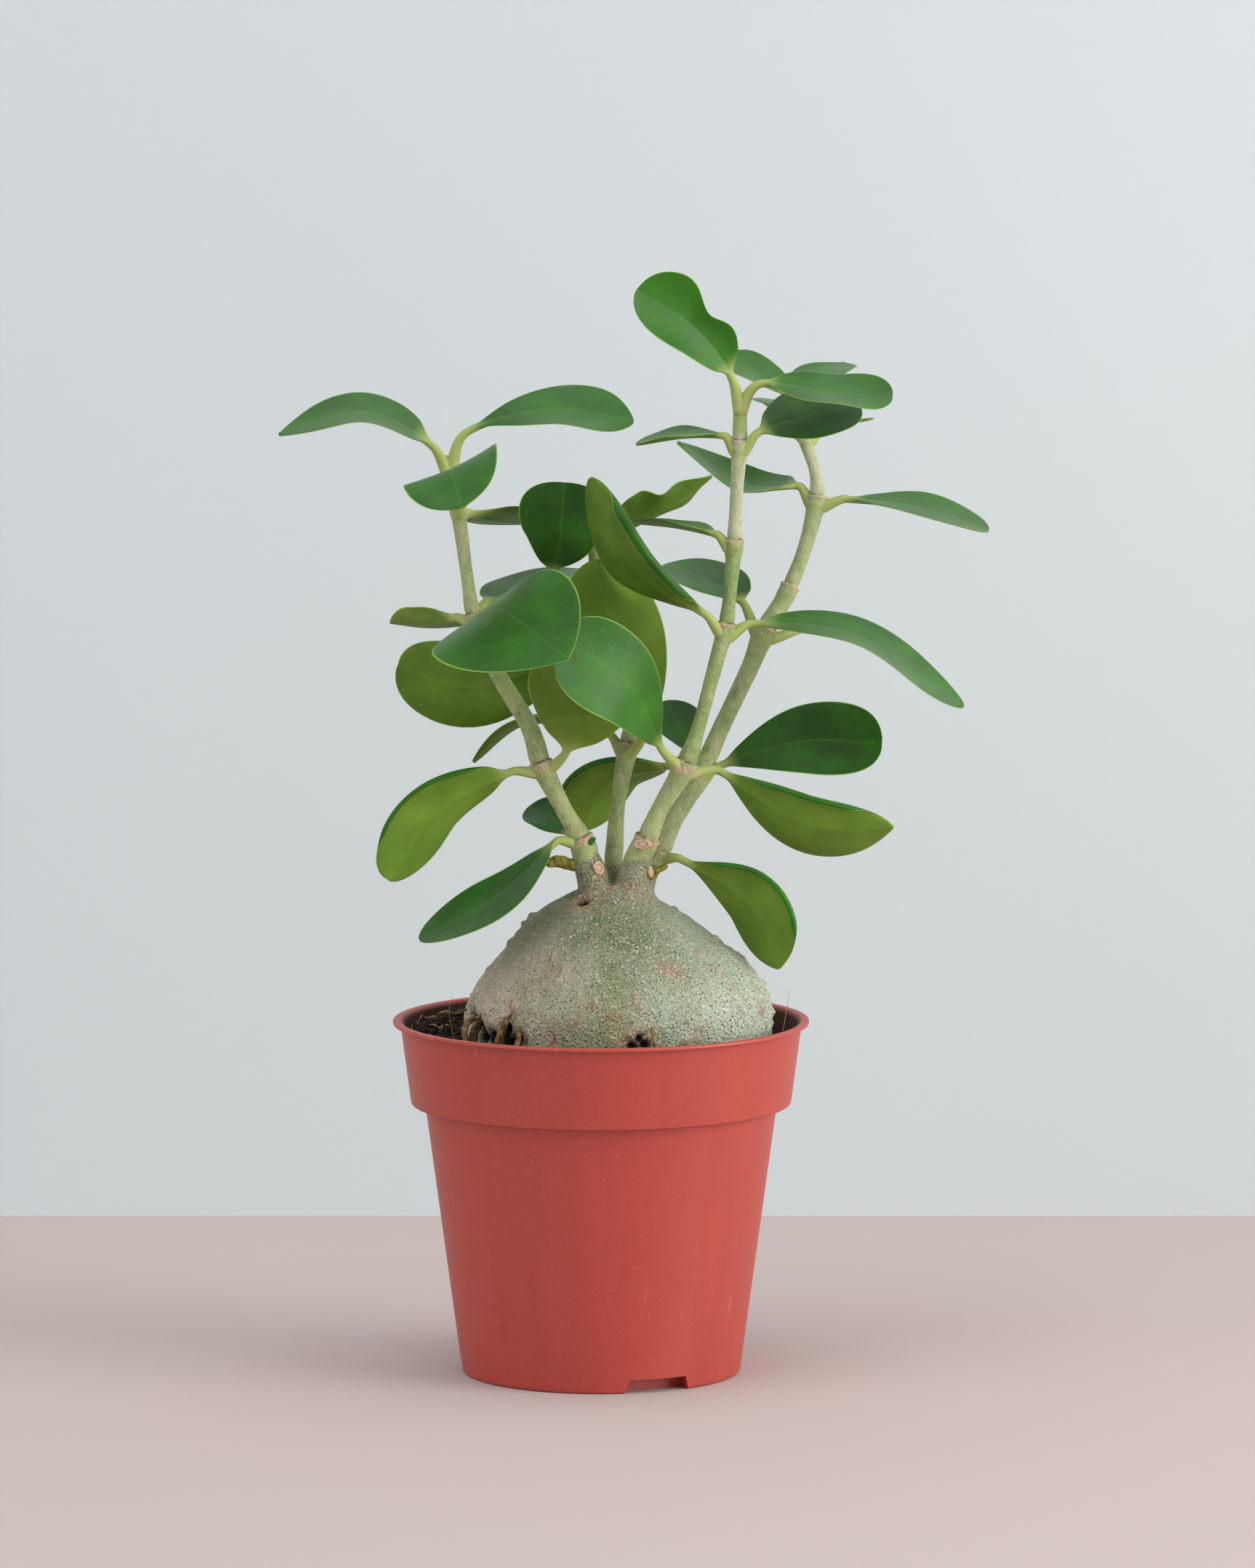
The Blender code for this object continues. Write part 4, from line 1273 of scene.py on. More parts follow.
@dataclass
class Stem:
    """One stem with its joints. Sizes are in millimetres."""

    key: str
    line: tuple
    joints: tuple
    bloom: tuple
    sides: int = 24
    spacing: float = 0.6

    def path(self, steps: int) -> np.ndarray:
        """Centre line with its radius, in metres."""
        return smooth_path(np.array(self.line, float) * MM, steps)

    def at(self, z: float) -> tuple[np.ndarray, np.ndarray, float]:
        """Find the stem at a height.

        Args:
            z: the height in millimetres.

        Returns:
            Centre, direction and radius in metres.
        """
        path = self.path(8)
        index = 1 + int(np.argmin(np.abs(path[1:-1, 2] - z * MM)))
        way = unit(path[index + 1, :3] - path[index - 1, :3])
        return path[index, :3], way, float(path[index, 3])

    def rings(self) -> np.ndarray:
        """Space the rings along the stem, closer at the joints.

        Returns:
            Rows of x, y, z and radius in metres.
        """
        rough = self.path(12)
        length = float(np.sum(np.linalg.norm(np.diff(rough[:, :3], axis=0), axis=1)))
        even = np.linspace(0, 1, int(length / (self.spacing * MM)))
        heights = along_path(rough, even)[:, 2]
        marks = [even]
        for joint in self.joints:
            marks.append(np.interp(joint * MM, heights, even) + np.linspace(-1.6, 1.6, 15) * MM / length)
        shares = np.sort(np.clip(np.concatenate(marks), 0, 1))
        apart = np.concatenate([[True], np.diff(shares) > 0.06 * MM / length])
        return along_path(rough, shares[apart])

    def joint_forms(self, z: np.ndarray) -> tuple[np.ndarray, ...]:
        """Shape and colour the joints, where each length ends in a cup that holds the next.

        Args:
            z: height of each ring in millimetres.

        Returns:
            Swelling in millimetres, then scar, crack and fresh growth from 0 to 1, for each ring.
        """
        swell, scar, crack, fresh = (np.zeros_like(z) for _ in range(4))
        for joint in self.joints:
            above = z - joint
            cup = 0.34 * bell(above, -1.9, 2.3) + 0.44 * bell(above, 0.0, 0.9)
            swell += cup * ramp(above, 0.6, 0.2) - 0.2 * bell(above, 0.75, 0.5)
            scar = np.maximum(scar, bell(above, -0.25, 0.8))
            crack = np.maximum(crack, bell(above, 0.5, 0.3))
            fresh = np.maximum(fresh, bell(above, -3.4, 2.2))
        return swell, scar, crack, fresh

    def build(self, finish: bpy.types.Material) -> None:
        """Swell the joints, round the tip and dress the stem.

        Args:
            finish: the bark.
        """
        path = self.rings()
        count = len(path)
        z = path[:, 2] / MM
        ridge, scar, line, fresh = self.joint_forms(z)
        path[:, 3] *= np.clip((path[-1, 2] - path[:, 2]) / (1.3 * MM) + 0.12, 0.0, 1.0) ** 0.5
        plain = tube_rings(path, self.sides)
        rough_bark = noise_at(plain, 520, 3.0).reshape(count, self.sides)
        patch = noise_at(plain, 900, 6.0).reshape(count, self.sides)
        swell = (ridge[:, None] * (1 + 0.5 * rough_bark) + 0.07 * rough_bark) * MM
        points = tube_rings(path, self.sides, swell)
        band = np.clip(scar[:, None] * (0.45 + 2.2 * rough_bark), 0, 1)
        dark = np.clip(line[:, None] * (0.6 + 1.2 * patch), 0, 1)
        age = ramp(z, 215, 145)[:, None] * np.ones((1, self.sides))
        green = np.clip(fresh[:, None] * (0.55 + 0.5 * rough_bark) * (1 - 0.6 * age), 0, 1)
        tip = ramp(z, self.joints[-1] + 1, self.joints[-1] + 3)[:, None] * np.ones((1, self.sides))
        pale = np.interp(z, [mark[0] for mark in self.bloom], [mark[1] for mark in self.bloom])
        pale = pale[:, None] + 0.35 * rough_bark
        values = {
            "scar": band.ravel(), "line": dark.ravel(), "fresh": np.maximum(green, 0.85 * tip).ravel(),
            "old": age.ravel(), "bloom": pale.ravel(),
        }
        mesh = mesh_of(f"stem_{self.key}_bark", points, ring_faces(count, self.sides), values)
        add_piece(f"stem_{self.key}_bark", mesh, finish, [f"stem_{self.key}"])


STEMS = (
    Stem("a", (
        (-2.6, -2.6, 142.2, 2.3), (-2.9, -2.7, 145.4, 3.0), (-4.2, -3, 149.2, 3.9),
        (-5.8, -3, 155.5, 3.1), (-10.2, -4, 163, 2.5),
        (-16.9, -5, 176.5, 3.0), (-20.6, -5, 188, 2.6), (-30, -5, 204, 2.4), (-36.2, -6, 219.5, 2.4),
        (-38.1, -6, 230, 1.8), (-40.9, -6, 250.5, 2.1), (-43.2, -6, 261.5, 1.9), (-43.8, -6, 266, 1.1),
    ), (155.5, 177.5, 220.5, 251.5), ((156, 0.0), (178, 0.1), (219, -0.1), (222, 0.3), (251, 0.4))),
    Stem("b", (
        (3.2, 4.6, 142.2, 1.9), (3.4, 5.4, 146.4, 2.5), (3.9, 6.6, 152, 2.6), (4.8, 8, 164, 2.2),
        (7.5, 10, 179.5, 2.8),
        (8.2, 10, 187, 1.9), (6.5, 10, 201, 1.9), (2.5, 10, 214, 2.3), (-1.9, 8, 236, 1.8),
        (-1.7, 8, 247, 1.2),
    ), (181.5, 215.0, 228.0), ((150, -0.1), (180, -0.3), (184, -0.1), (215, 0.2), (228, 0.4))),
    Stem("c", (
        (8.4, -3, 142.2, 2.4), (8.8, -3.2, 145.4, 3.0), (10.2, -4.2, 149, 3.8),
        (13.2, -6, 155.5, 3.2), (17, -7, 164.5, 2.5),
        (23.8, -9, 176.5, 3.1), (27.9, -9, 188, 2.0), (33.5, -10, 209, 2.2), (35.6, -10, 216.5, 2.4),
        (36.8, -10, 226, 1.9), (38.1, -10, 240.5, 2.3), (38.5, -10, 251, 1.8), (39.5, -10, 268.5, 2.2),
        (39.7, -10, 278, 1.9), (39.9, -10, 283, 1.1),
    ), (155.8, 178.0, 218.0, 242.0, 270.5), (
        (156, 0.0), (177, 0.2), (179, -0.3), (200, 0.0),
        (217, 0.1), (219, -0.6), (240, -0.4), (243, 0.8), (268, 0.8),
    )),
    Stem("d", (
        (12.4, 2.6, 142.2, 1.8), (13.2, 2.8, 145.4, 2.2), (16.4, 4, 149.4, 3.1),
        (21, 6, 159.5, 2.6), (28.1, 9, 171.5, 2.9),
        (34.8, 12, 186, 2.5), (42.8, 15, 202.5, 2.6), (47, 17, 212.5, 3.1), (53.3, 19, 223.5, 2.4),
        (58.6, 22, 236, 2.1), (62.2, 25, 250, 2.5), (62, 26, 258, 1.7), (59.3, 28, 267, 1.7),
        (56.6, 30, 278, 1.1),
    ), (150.5, 172.5, 214.0, 226.0, 251.5, 269.5), (
        (151, 0.2), (172, 0.3), (174, 0.0), (213, 0.2), (227, 0.3), (250, 0.5), (253, 0.9), (269, 0.9),
    )),
)


@dataclass
class Leaf:
    """One leaf: where its stalk meets a stem and the points its midrib passes, in millimetres."""

    name: str
    stem: str
    node_z: float
    neck: tuple
    middle: tuple
    tip: tuple
    width: float
    face: tuple
    cup: float = 1.5
    widest: float = 0.58
    blunt: float = 0.55
    lean: float = 0.0
    dent: float = 0.0
    dent_place: float = 0.46
    dent_length: float = 0.14
    age: Age = Age.GROWN
    ripple: float = 0.4
    waves: float = 1.3
    curl: float = 0.0
    roll: float = 0.0
    roll_start: float = 0.8
    stalk: float = 1.2
    thickness: float = 1.0
    columns: tuple = (
        -1.0, -0.99, -0.965, -0.92, -0.84, -0.73, -0.6, -0.45, -0.3, -0.16, -0.08, 0.0,
        0.08, 0.16, 0.3, 0.45, 0.6, 0.73, 0.84, 0.92, 0.965, 0.99, 1.0,
    )
    rows: int = 40

    def __post_init__(self) -> None:
        """Set points closer together where a margin is rolled."""
        if self.roll:
            side = math.copysign(1.0, self.roll)
            close = {round(side * float(share), 4) for share in np.linspace(self.roll_start, 0.995, 13)}
            kept = {column for column in self.columns if not self.roll_start < side * column < 0.995}
            self.columns = tuple(sorted(close | kept))

    def half_share(self, along: np.ndarray) -> np.ndarray:
        """Share of its half width that the blade has at shares of its length."""
        rise = self.blunt * self.widest / (1 - self.widest)
        return (along / self.widest) ** rise * ((1 - along) / (1 - self.widest)) ** self.blunt

    def spine(self, stem: Stem) -> tuple[np.ndarray, np.ndarray, np.ndarray]:
        """Trace the stalk and the midrib.

        Args:
            stem: the stem that carries the leaf.

        Returns:
            Centre points, their shares along the blade, below 0 on the stalk, and the first direction.
        """
        axis, way, radius = stem.at(self.node_z)
        neck, middle, tip = (np.array(point, float) * MM for point in (self.neck, self.middle, self.tip))
        out = neck - axis
        out = unit(out - way * np.dot(out, way))
        foot = axis + out * (radius + 0.3 * MM)
        curve = smooth_path(np.array([foot, foot + out * (1.4 * MM), neck, middle, tip]), 24)[48:]
        root = axis + out * (0.2 * radius) - way * (2.0 * MM)
        reach = np.linalg.norm(neck - root)
        forked = stem.line[-1][2] - self.node_z < 8
        start = unit(way + 0.2 * out) if forked else unit(0.35 * out + unit(neck - root))
        before = neck - unit(curve[1] - curve[0]) * (0.26 * reach)
        after = root + start * ((0.55 if forked else 0.3) * reach)
        t = np.linspace(0, 1, 13)[:-1, None]
        stalk = root * (1 - t) ** 3 + after * 3 * t * (1 - t) ** 2 + before * 3 * t**2 * (1 - t) + neck * t**3
        shares = (1 - np.cos(np.pi * np.linspace(0, 1, self.rows))) / 2 * 0.9975
        return np.vstack([stalk, along_path(curve, shares)]), np.concatenate([t.ravel() - 1, shares]), start

    def sheet(self, along: np.ndarray, half: np.ndarray, phase: float) -> np.ndarray:
        """Work out how far the blade lifts from flat.

        Args:
            along: share along the blade of each row.
            half: half width of each row in metres.
            phase: start of the margin's waves.

        Returns:
            The lift of each point of each row, in metres.
        """
        columns = np.array(self.columns)[None, :]
        share = (half / (0.5 * self.width * MM))[:, None]
        bowl = self.cup * columns**2
        turns = 2 * math.pi * (self.waves * along[:, None] + phase + 0.21 * np.sign(columns))
        waves = self.ripple * np.sin(turns) * np.abs(columns) ** 2.2 * np.clip(along[:, None] * 4, 0, 1)
        tip = self.curl * ramp(along[:, None], 0.72, 1.0) ** 2
        return (bowl + waves) * share * MM + tip * MM

    def widths(self, shares: np.ndarray) -> tuple[np.ndarray, np.ndarray]:
        """Find the stalk's radius and the blade's half width.

        Args:
            shares: share along the blade of each row, below 0 on the stalk.

        Returns:
            Both for each row, in metres.
        """
        along = np.maximum(0.0, shares)
        stalk = self.stalk * MM * (1 + 0.45 * np.clip(-shares - 0.15, 0, 0.6) / 0.6)
        blade = 0.5 * self.width * MM * self.half_share(along)
        return stalk, np.where(along > self.widest, np.maximum(0.3 * MM, blade), np.maximum(stalk, blade))

    def skins(self, along: np.ndarray, half: np.ndarray) -> tuple[np.ndarray, np.ndarray]:
        """Set the skins off the middle of the blade, with a groove above the midrib and a keel below it.

        Args:
            along: share along the blade of each row.
            half: half width of each row in metres.

        Returns:
            The distance above and the distance below of each point of each row, in metres.
        """
        columns = np.array(self.columns)
        off_rib = np.abs(columns)[None, :] * half[:, None] / MM
        fade = np.clip(1 - along, 0, 1)[:, None]
        rounded = np.sqrt(np.maximum(0.02, 1 - np.abs(columns) ** 9))
        thick = 0.5 * self.thickness * MM * (1 - 0.5 * columns**2) * rounded
        groove = 0.22 * MM * bell(off_rib, 0.0, 0.75) * fade
        keel = 0.75 * MM * bell(off_rib, 0.0, 1.1) * fade**0.8
        return thick - groove, thick + keel

    def reach(self, along: np.ndarray, half: np.ndarray) -> np.ndarray:
        """Place the points sideways, with the lean and the dent of the outline.

        Args:
            along: share along the blade of each row.
            half: half width of each row in metres.

        Returns:
            The sideways place of each point of each row, in metres.
        """
        columns = np.array(self.columns)
        bite = self.dent * bell(along[:, None], self.dent_place, self.dent_length)
        edge = np.where(columns[None, :] > 0, 1 + self.lean - bite, 1 - self.lean)
        return half[:, None] * columns * edge

    def values(self, shares: np.ndarray, half: np.ndarray, blend: np.ndarray) -> dict[str, np.ndarray]:
        """Note where each point lies on the leaf, for the finish.

        Args:
            shares: share along the blade of each row, below 0 on the stalk.
            half: half width of each row in metres.
            blend: how far each row belongs to the blade.

        Returns:
            Numbers at each point, by attribute name.
        """
        columns = np.array(self.columns)
        across = np.concatenate([columns, columns[::-1]])
        ring = len(across)
        rows = len(shares)
        return {
            "across": np.tile(across, rows) * np.repeat(blend, ring),
            "along": np.repeat(shares, ring),
            "half": np.repeat(half / MM, ring),
            "under": np.tile(np.repeat([0.0, 1.0], len(columns)), rows),
            "age": np.full(rows * ring, self.age.value),
            "woody": np.full(rows * ring, min(1.0, max(0.15, (190 - self.node_z) / 30))),
        }

    def rolled(self, along: np.ndarray, place: np.ndarray) -> tuple[np.ndarray, np.ndarray, np.ndarray]:
        """Roll one margin under, on the side that the sign of the roll gives.

        Args:
            along: share along the blade of each row.
            place: sideways place of each point in metres.

        Returns:
            The turn of each point in radians, its new sideways place and its drop in metres.
        """
        side = math.copysign(1.0, self.roll)
        across = np.clip(np.array(self.columns)[None, :] * side, 0, 1)
        margin = (place[:, -1] if side > 0 else -place[:, 0])[:, None]
        grown = np.clip(1.5 * np.sin(np.pi * np.clip(along, 0, 1)), 0, 1)[:, None]
        size = abs(self.roll) * MM * grown
        turn = math.radians(200) * ramp(across, self.roll_start, 1.0) * grown
        bent = (margin - size) * np.minimum(across / self.roll_start, 1) + size * np.sin(turn)
        kept = across <= 0
        moved = np.where(kept, place, side * (bent * grown + side * place * (1 - grown)))
        return side * turn, moved, np.where(kept, 0, size * (1 - np.cos(turn)))

    def build(self, stems: dict[str, Stem], finish: bpy.types.Material, number: int) -> None:
        """Make the stalk and the blade and dress the leaf.

        Args:
            stems: the stems by key.
            finish: the leaf material.
            number: the leaf's place in the list, which sets its waves.
        """
        centres, shares, out = self.spine(stems[self.stem])
        ways = tangents(centres)
        ways[0] = out
        start = int(np.argmin(np.abs(shares - 0.5)))
        normals = carried(np.array(self.face, float), ways, start)
        sides = np.cross(ways, normals)
        along = np.maximum(0.0, shares)
        stalk, half = self.widths(shares)
        above, below = self.skins(along, half)
        lift = self.sheet(along, half, 0.37 * number)
        reach = self.reach(along, half)
        blend = ramp(shares, -0.04, 0.13)[:, None]
        blend = (blend * blend * (3 - 2 * blend))[..., None]
        count = len(self.columns)
        angle = np.pi * (1 - (np.arange(count) + 0.5) / count)
        bend = np.zeros_like(reach)
        if self.roll:
            bend, reach, drop = self.rolled(along, reach)
            lift = lift - drop
        flat = centres[:, None] + sides[:, None] * reach[..., None] + normals[:, None] * lift[..., None]
        up = normals[:, None] * np.cos(bend)[..., None] + sides[:, None] * np.sin(bend)[..., None]
        round_side = sides[:, None] * (stalk[:, None] * np.cos(angle))[..., None]
        round_up = normals[:, None] * (stalk[:, None] * np.sin(angle))[..., None]
        bar_top = centres[:, None] + round_side + round_up
        bar_low = centres[:, None] + round_side - round_up
        top = bar_top * (1 - blend) + (flat + up * above[..., None]) * blend
        low = bar_low * (1 - blend) + (flat - up * below[..., None]) * blend
        rings = np.concatenate([top, low[:, ::-1]], axis=1)
        values = self.values(shares, half, blend.ravel())
        mesh = mesh_of(f"{self.name}_blade", rings.reshape(-1, 3), ring_faces(len(rings), 2 * count), values)
        add_piece(f"{self.name}_blade", mesh, finish, [self.name])


LEAVES = (
    Leaf("leaf_a1", "a", 260, (-48.6, -7.5, 269.3), (-68, -8, 278.6), (-92, -8, 272), 25, (0, -29, 95),
         widest=0.45, blunt=0.8),
    Leaf("leaf_a2", "a", 260, (-38, -6, 272.8), (-14, -6, 279.2), (9.5, -6, 275.5), 27, (0, -43, 90),
         widest=0.66, blunt=0.75, ripple=1.1, waves=1.1),
    Leaf("leaf_a3", "a", 251, (-41, -15, 257), (-42, -33, 264), (-39, -51, 255), 29, (-38, -30, 88),
         widest=0.5, blunt=0.45),
    Leaf("leaf_a4", "a", 250, (-37, 4, 248.5), (-27, 24, 244.8), (-18, 46, 242), 26, (0, 42, 88),
         widest=0.42),
    Leaf("leaf_a5", "a", 220, (-42, 0, 219), (-49, 10, 216.6), (-61, 20, 215.5), 18, (0, 55, 84),
         widest=0.42, blunt=0.9, age=Age.YOUNG),
    Leaf("leaf_a6", "a", 219, (-35, -15, 221), (-27, -34, 223.5), (-9, -56, 212.5), 45, (-40, -45, 90),
         widest=0.46, blunt=0.85, ripple=0.0, lean=0.12),
    Leaf("leaf_a7", "a", 221, (-33, 4, 223), (-21, 22, 226), (-6, 38, 229), 24, (0, 0, 100)),
    Leaf("leaf_a8", "a", 176, (-26, -7, 175), (-46.5, -10, 164.6), (-61.5, -12, 144.6), 26, (-40, 70, 60),
         widest=0.62, blunt=0.45, age=Age.YOUNG, ripple=0.7, roll=-0.8),
    Leaf("leaf_a9", "a", 177, (-10, -9, 181), (-5, -18, 198), (-6, -24, 217), 32, (0, 80, 60), age=Age.YOUNG),
    Leaf("leaf_a10", "a", 155.5, (-13, -6.5, 154.8), (-28.5, -12, 140.8), (-52, -16, 127.5), 24,
         (-40, -38, 80), widest=0.6, blunt=0.6, lean=-0.2),
    Leaf("leaf_a11", "a", 156, (-9, 3, 156), (-14, 12, 159.5), (-21, 20, 161.5), 14, (20, -85, 40),
         age=Age.OLD),
    Leaf("leaf_b1", "b", 180, (12, 4, 185), (5, -3, 209), (-2, -5, 236), 29, (0, 100, 10), age=Age.YOUNG),
    Leaf("leaf_b2", "b", 180, (2, 12, 184), (-21, 12, 187.5), (-37, 14, 175.5), 18, (0, 10, 99)),
    Leaf("leaf_b3", "b", 214, (-5, 9, 210), (-36, 6, 198.5), (-58.5, 4, 205), 26, (0, 95, 25),
         widest=0.63, blunt=0.42, ripple=0.6),
    Leaf("leaf_b4", "b", 227, (-13, 3, 231.6), (-11.5, -1, 243), (-10.5, 2, 257.6), 25, (0, -90, 30),
         widest=0.68, blunt=0.42, age=Age.OLD),
    Leaf("leaf_b5", "b", 245, (3, 8, 247), (17, 12, 249), (32, 14, 258.5), 17, (-20, 50, 80),
         widest=0.32, blunt=0.8, ripple=1.3, waves=2.0),
    Leaf("leaf_c1", "c", 178, (17.5, -16, 182.5), (8, -34, 203.3), (-11.5, -42, 217), 27, (0, -80, 50),
         widest=0.72, blunt=0.4, lean=-0.1, age=Age.YOUNG),
    Leaf("leaf_c2", "c", 175, (19, 13, 174.5), (2, 24, 169), (-6, 34, 153), 24, (-30, 70, 60),
         age=Age.YOUNG, roll=-0.9),
    Leaf("leaf_c3", "c", 176, (34, -4, 175), (59, -8, 160.5), (84, -10, 159.5), 25, (0, 75, 65),
         blunt=0.85, lean=-0.15, age=Age.YOUNG, roll=1.0),
    Leaf("leaf_c4", "c", 217, (30, -14, 221), (10, -20, 235.6), (-3, -18.5, 260.8), 27, (50, 50, 60),
         blunt=0.7, lean=0.25, roll=-1.5),
    Leaf("leaf_c5", "c", 216, (43, -9, 218), (74, -8, 214.2), (103, -6, 192.5), 26, (10, -24, 92), curl=1.6),
    Leaf("leaf_c6", "c", 241, (33, -9, 243.7), (22, -3, 245.6), (9, 4, 246), 18, (0, 8, 99)),
    Leaf("leaf_c7", "c", 269, (45, -11, 273), (59, -6, 277), (74, 0, 280), 23, (0, -60, 80), age=Age.OLD),
    Leaf("leaf_c8", "c", 269, (35, -10, 272), (24, -10, 272), (10, -10, 269.5), 17, (0, -8, 99),
         blunt=0.75),
    Leaf("leaf_c9", "c", 280, (36.9, -13, 289.4), (26.5, -18, 303.5), (10, -24, 314), 20.5, (-35, -75, 50),
         cup=3, widest=0.62, blunt=0.42, lean=0.08, dent=0.55, age=Age.YOUNG),
    Leaf("leaf_c10", "c", 280, (46, -12, 287), (65, -14, 284.6), (83, -14, 282.5), 25, (0, -34, 94),
         widest=0.66, blunt=0.42, curl=1.0, ripple=0.9),
    Leaf("leaf_d1", "d", 150, (23, 0, 149), (43, -4, 137), (51.3, -6, 117.8), 25.5, (45, 75, 45),
         widest=0.64, blunt=0.8, age=Age.YOUNG, roll=0.9),
    Leaf("leaf_d2", "d", 172, (34, 8, 175), (58, 8, 182), (81, 6, 181.4), 26, (0, -75, 65),
         widest=0.7, blunt=0.45, age=Age.OLD),
    Leaf("leaf_d3", "d", 172, (26, 14, 178), (22.5, 24, 185), (19, 34, 191), 14, (0, -50, 70), age=Age.OLD),
    Leaf("leaf_d4", "d", 213, (41, 22, 221), (32, 32, 226), (19, 44, 230), 25, (0, -20, 97)),
    Leaf("leaf_d5", "d", 213, (57, 22, 213), (66, 36, 213), (76, 50, 209), 24, (0, -10, 99)),
    Leaf("leaf_d6", "d", 250, (57, 27, 254.5), (42, 32, 254.5), (22, 36, 266.5), 25, (0, -15, 98),
         widest=0.38, blunt=0.9),
    Leaf("leaf_d7", "d", 250, (71, 24, 251), (92, 22, 248.5), (112, 20, 242), 24, (0, -18, 98),
         widest=0.64),
    Leaf("leaf_d8", "d", 270, (53.5, 34, 274.5), (55, 48, 276.5), (54, 66, 276), 22, (0, 5, 99)),
    Leaf("leaf_d9", "d", 268, (63.5, 31, 270.5), (69, 44, 271.5), (73, 56, 271), 20, (0, 5, 99)),
    Leaf("leaf_d10", "d", 275, (54, 32.5, 280.4), (45, 36, 286.4), (34.5, 40, 291.3), 21, (0, -20, 97)),
    Leaf("leaf_d11", "d", 273, (59, 34, 281), (64, 45, 285), (71, 56, 288), 20, (0, 5, 99),
         blunt=0.9),
)


@dataclass
class Twig:
    """A root or a short shoot, with a lumpy skin. Sizes are in millimetres."""

    name: str
    nodes: tuple
    line: tuple
    slot: Slot = Slot.ROOT
    sides: int = 14
    lump: float = 0.25

    def build(self, finish: bpy.types.Material) -> None:
        """Make the bar, roughen it and dress it.

        Args:
            finish: the bark.
        """
        path = smooth_path(np.array(self.line, float) * MM, 12)
        path[:, 3] *= np.clip((len(path) - 1 - np.arange(len(path))) / 4 + 0.15, 0, 1) ** 0.5
        plain = tube_rings(path, self.sides)
        bumps = noise_at(plain, 600, 2.0).reshape(len(path), self.sides)
        points = tube_rings(path, self.sides, self.lump * bumps * MM)
        shade = np.clip(0.25 + 0.9 * bumps, 0, 1).ravel()
        mesh = mesh_of(self.name, points, ring_faces(len(path), self.sides), {"shade": shade})
        add_piece(self.name, mesh, finish, self.nodes)


@dataclass
class LeafScars:
    """Round marks that fallen leaves left.

    Each mark is a place and its outward way, then its radius in millimetres and its height as a share of its
    width. Each row of the profile is a share of the radius, a lift in millimetres and a shade.
    """

    marks: tuple = (
        ((-0.6, -6.6, 147.3), (0.6, -0.8, 0.1), 1.7, 1.1),
        ((14.3, -5.3, 146.0), (0.95, -0.35, 0.1), 1.4, 1.3),
        ((11.9, -9.3, 154.4), (-0.2, -1.0, 0.1), 2.3, 0.65),
        ((-3.9, -6.0, 154.6), (0.5, -0.9, 0.1), 1.5, 0.7),
        ((22.6, -12.0, 176.4), (-0.2, -1.0, 0.1), 1.9, 0.6),
        ((-17.6, -7.9, 176.2), (-0.4, -0.9, 0.1), 1.8, 0.6),
        ((35.2, -12.3, 217.3), (-0.1, -1.0, 0.1), 1.2, 0.8),
        ((38.3, -12.2, 241.2), (0.1, -1.0, 0.1), 1.1, 0.8),
        ((47.4, 14.1, 212.9), (0.1, -1.0, 0.1), 1.2, 0.8), ((54.4, 17.1, 225.4), (0.2, -1.0, 0.1), 1.0, 0.9),
        ((62.3, 22.8, 250.6), (0.1, -1.0, 0.1), 1.1, 0.9),
    )
    profile: tuple = (
        (0.0, 0.22, 0.5), (0.3, 0.28, 0.8), (0.55, 0.12, 0.1),
        (0.82, 0.4, 0.95), (1.0, 0.2, 0.6), (1.12, -0.5, 0.3),
    )
    sides: int = 20

    def build(self, finish: bpy.types.Material) -> None:
        """Make all the marks as one piece and dress it.

        Args:
            finish: the scars' material.
        """
        heap = Heap()
        turns = around(self.sides)
        shades = np.repeat([shade for _, _, shade in self.profile], self.sides)
        for number, (place, way, size, high) in enumerate(self.marks):
            out = unit(np.array(way))
            side = unit(np.cross(out, (0.0, 0.0, 1.0)))
            over = np.cross(side, out)
            uneven = 1 + 0.1 * np.sin(2 * turns + number) + 0.06 * np.sin(5 * turns + 2 * number)
            rings = []
            for share, lift, _ in self.profile:
                reach = (max(share, 0.04) * size * uneven)[:, None]
                ring = np.cos(turns)[:, None] * side * reach + np.sin(turns)[:, None] * over * reach * high
                rings.append((np.array(place) + ring + out * lift) * MM)
            heap.add(np.vstack(rings), ring_faces(len(rings), self.sides), shades)
        add_piece("leaf_scars", heap.mesh("leaf_scars"), finish)


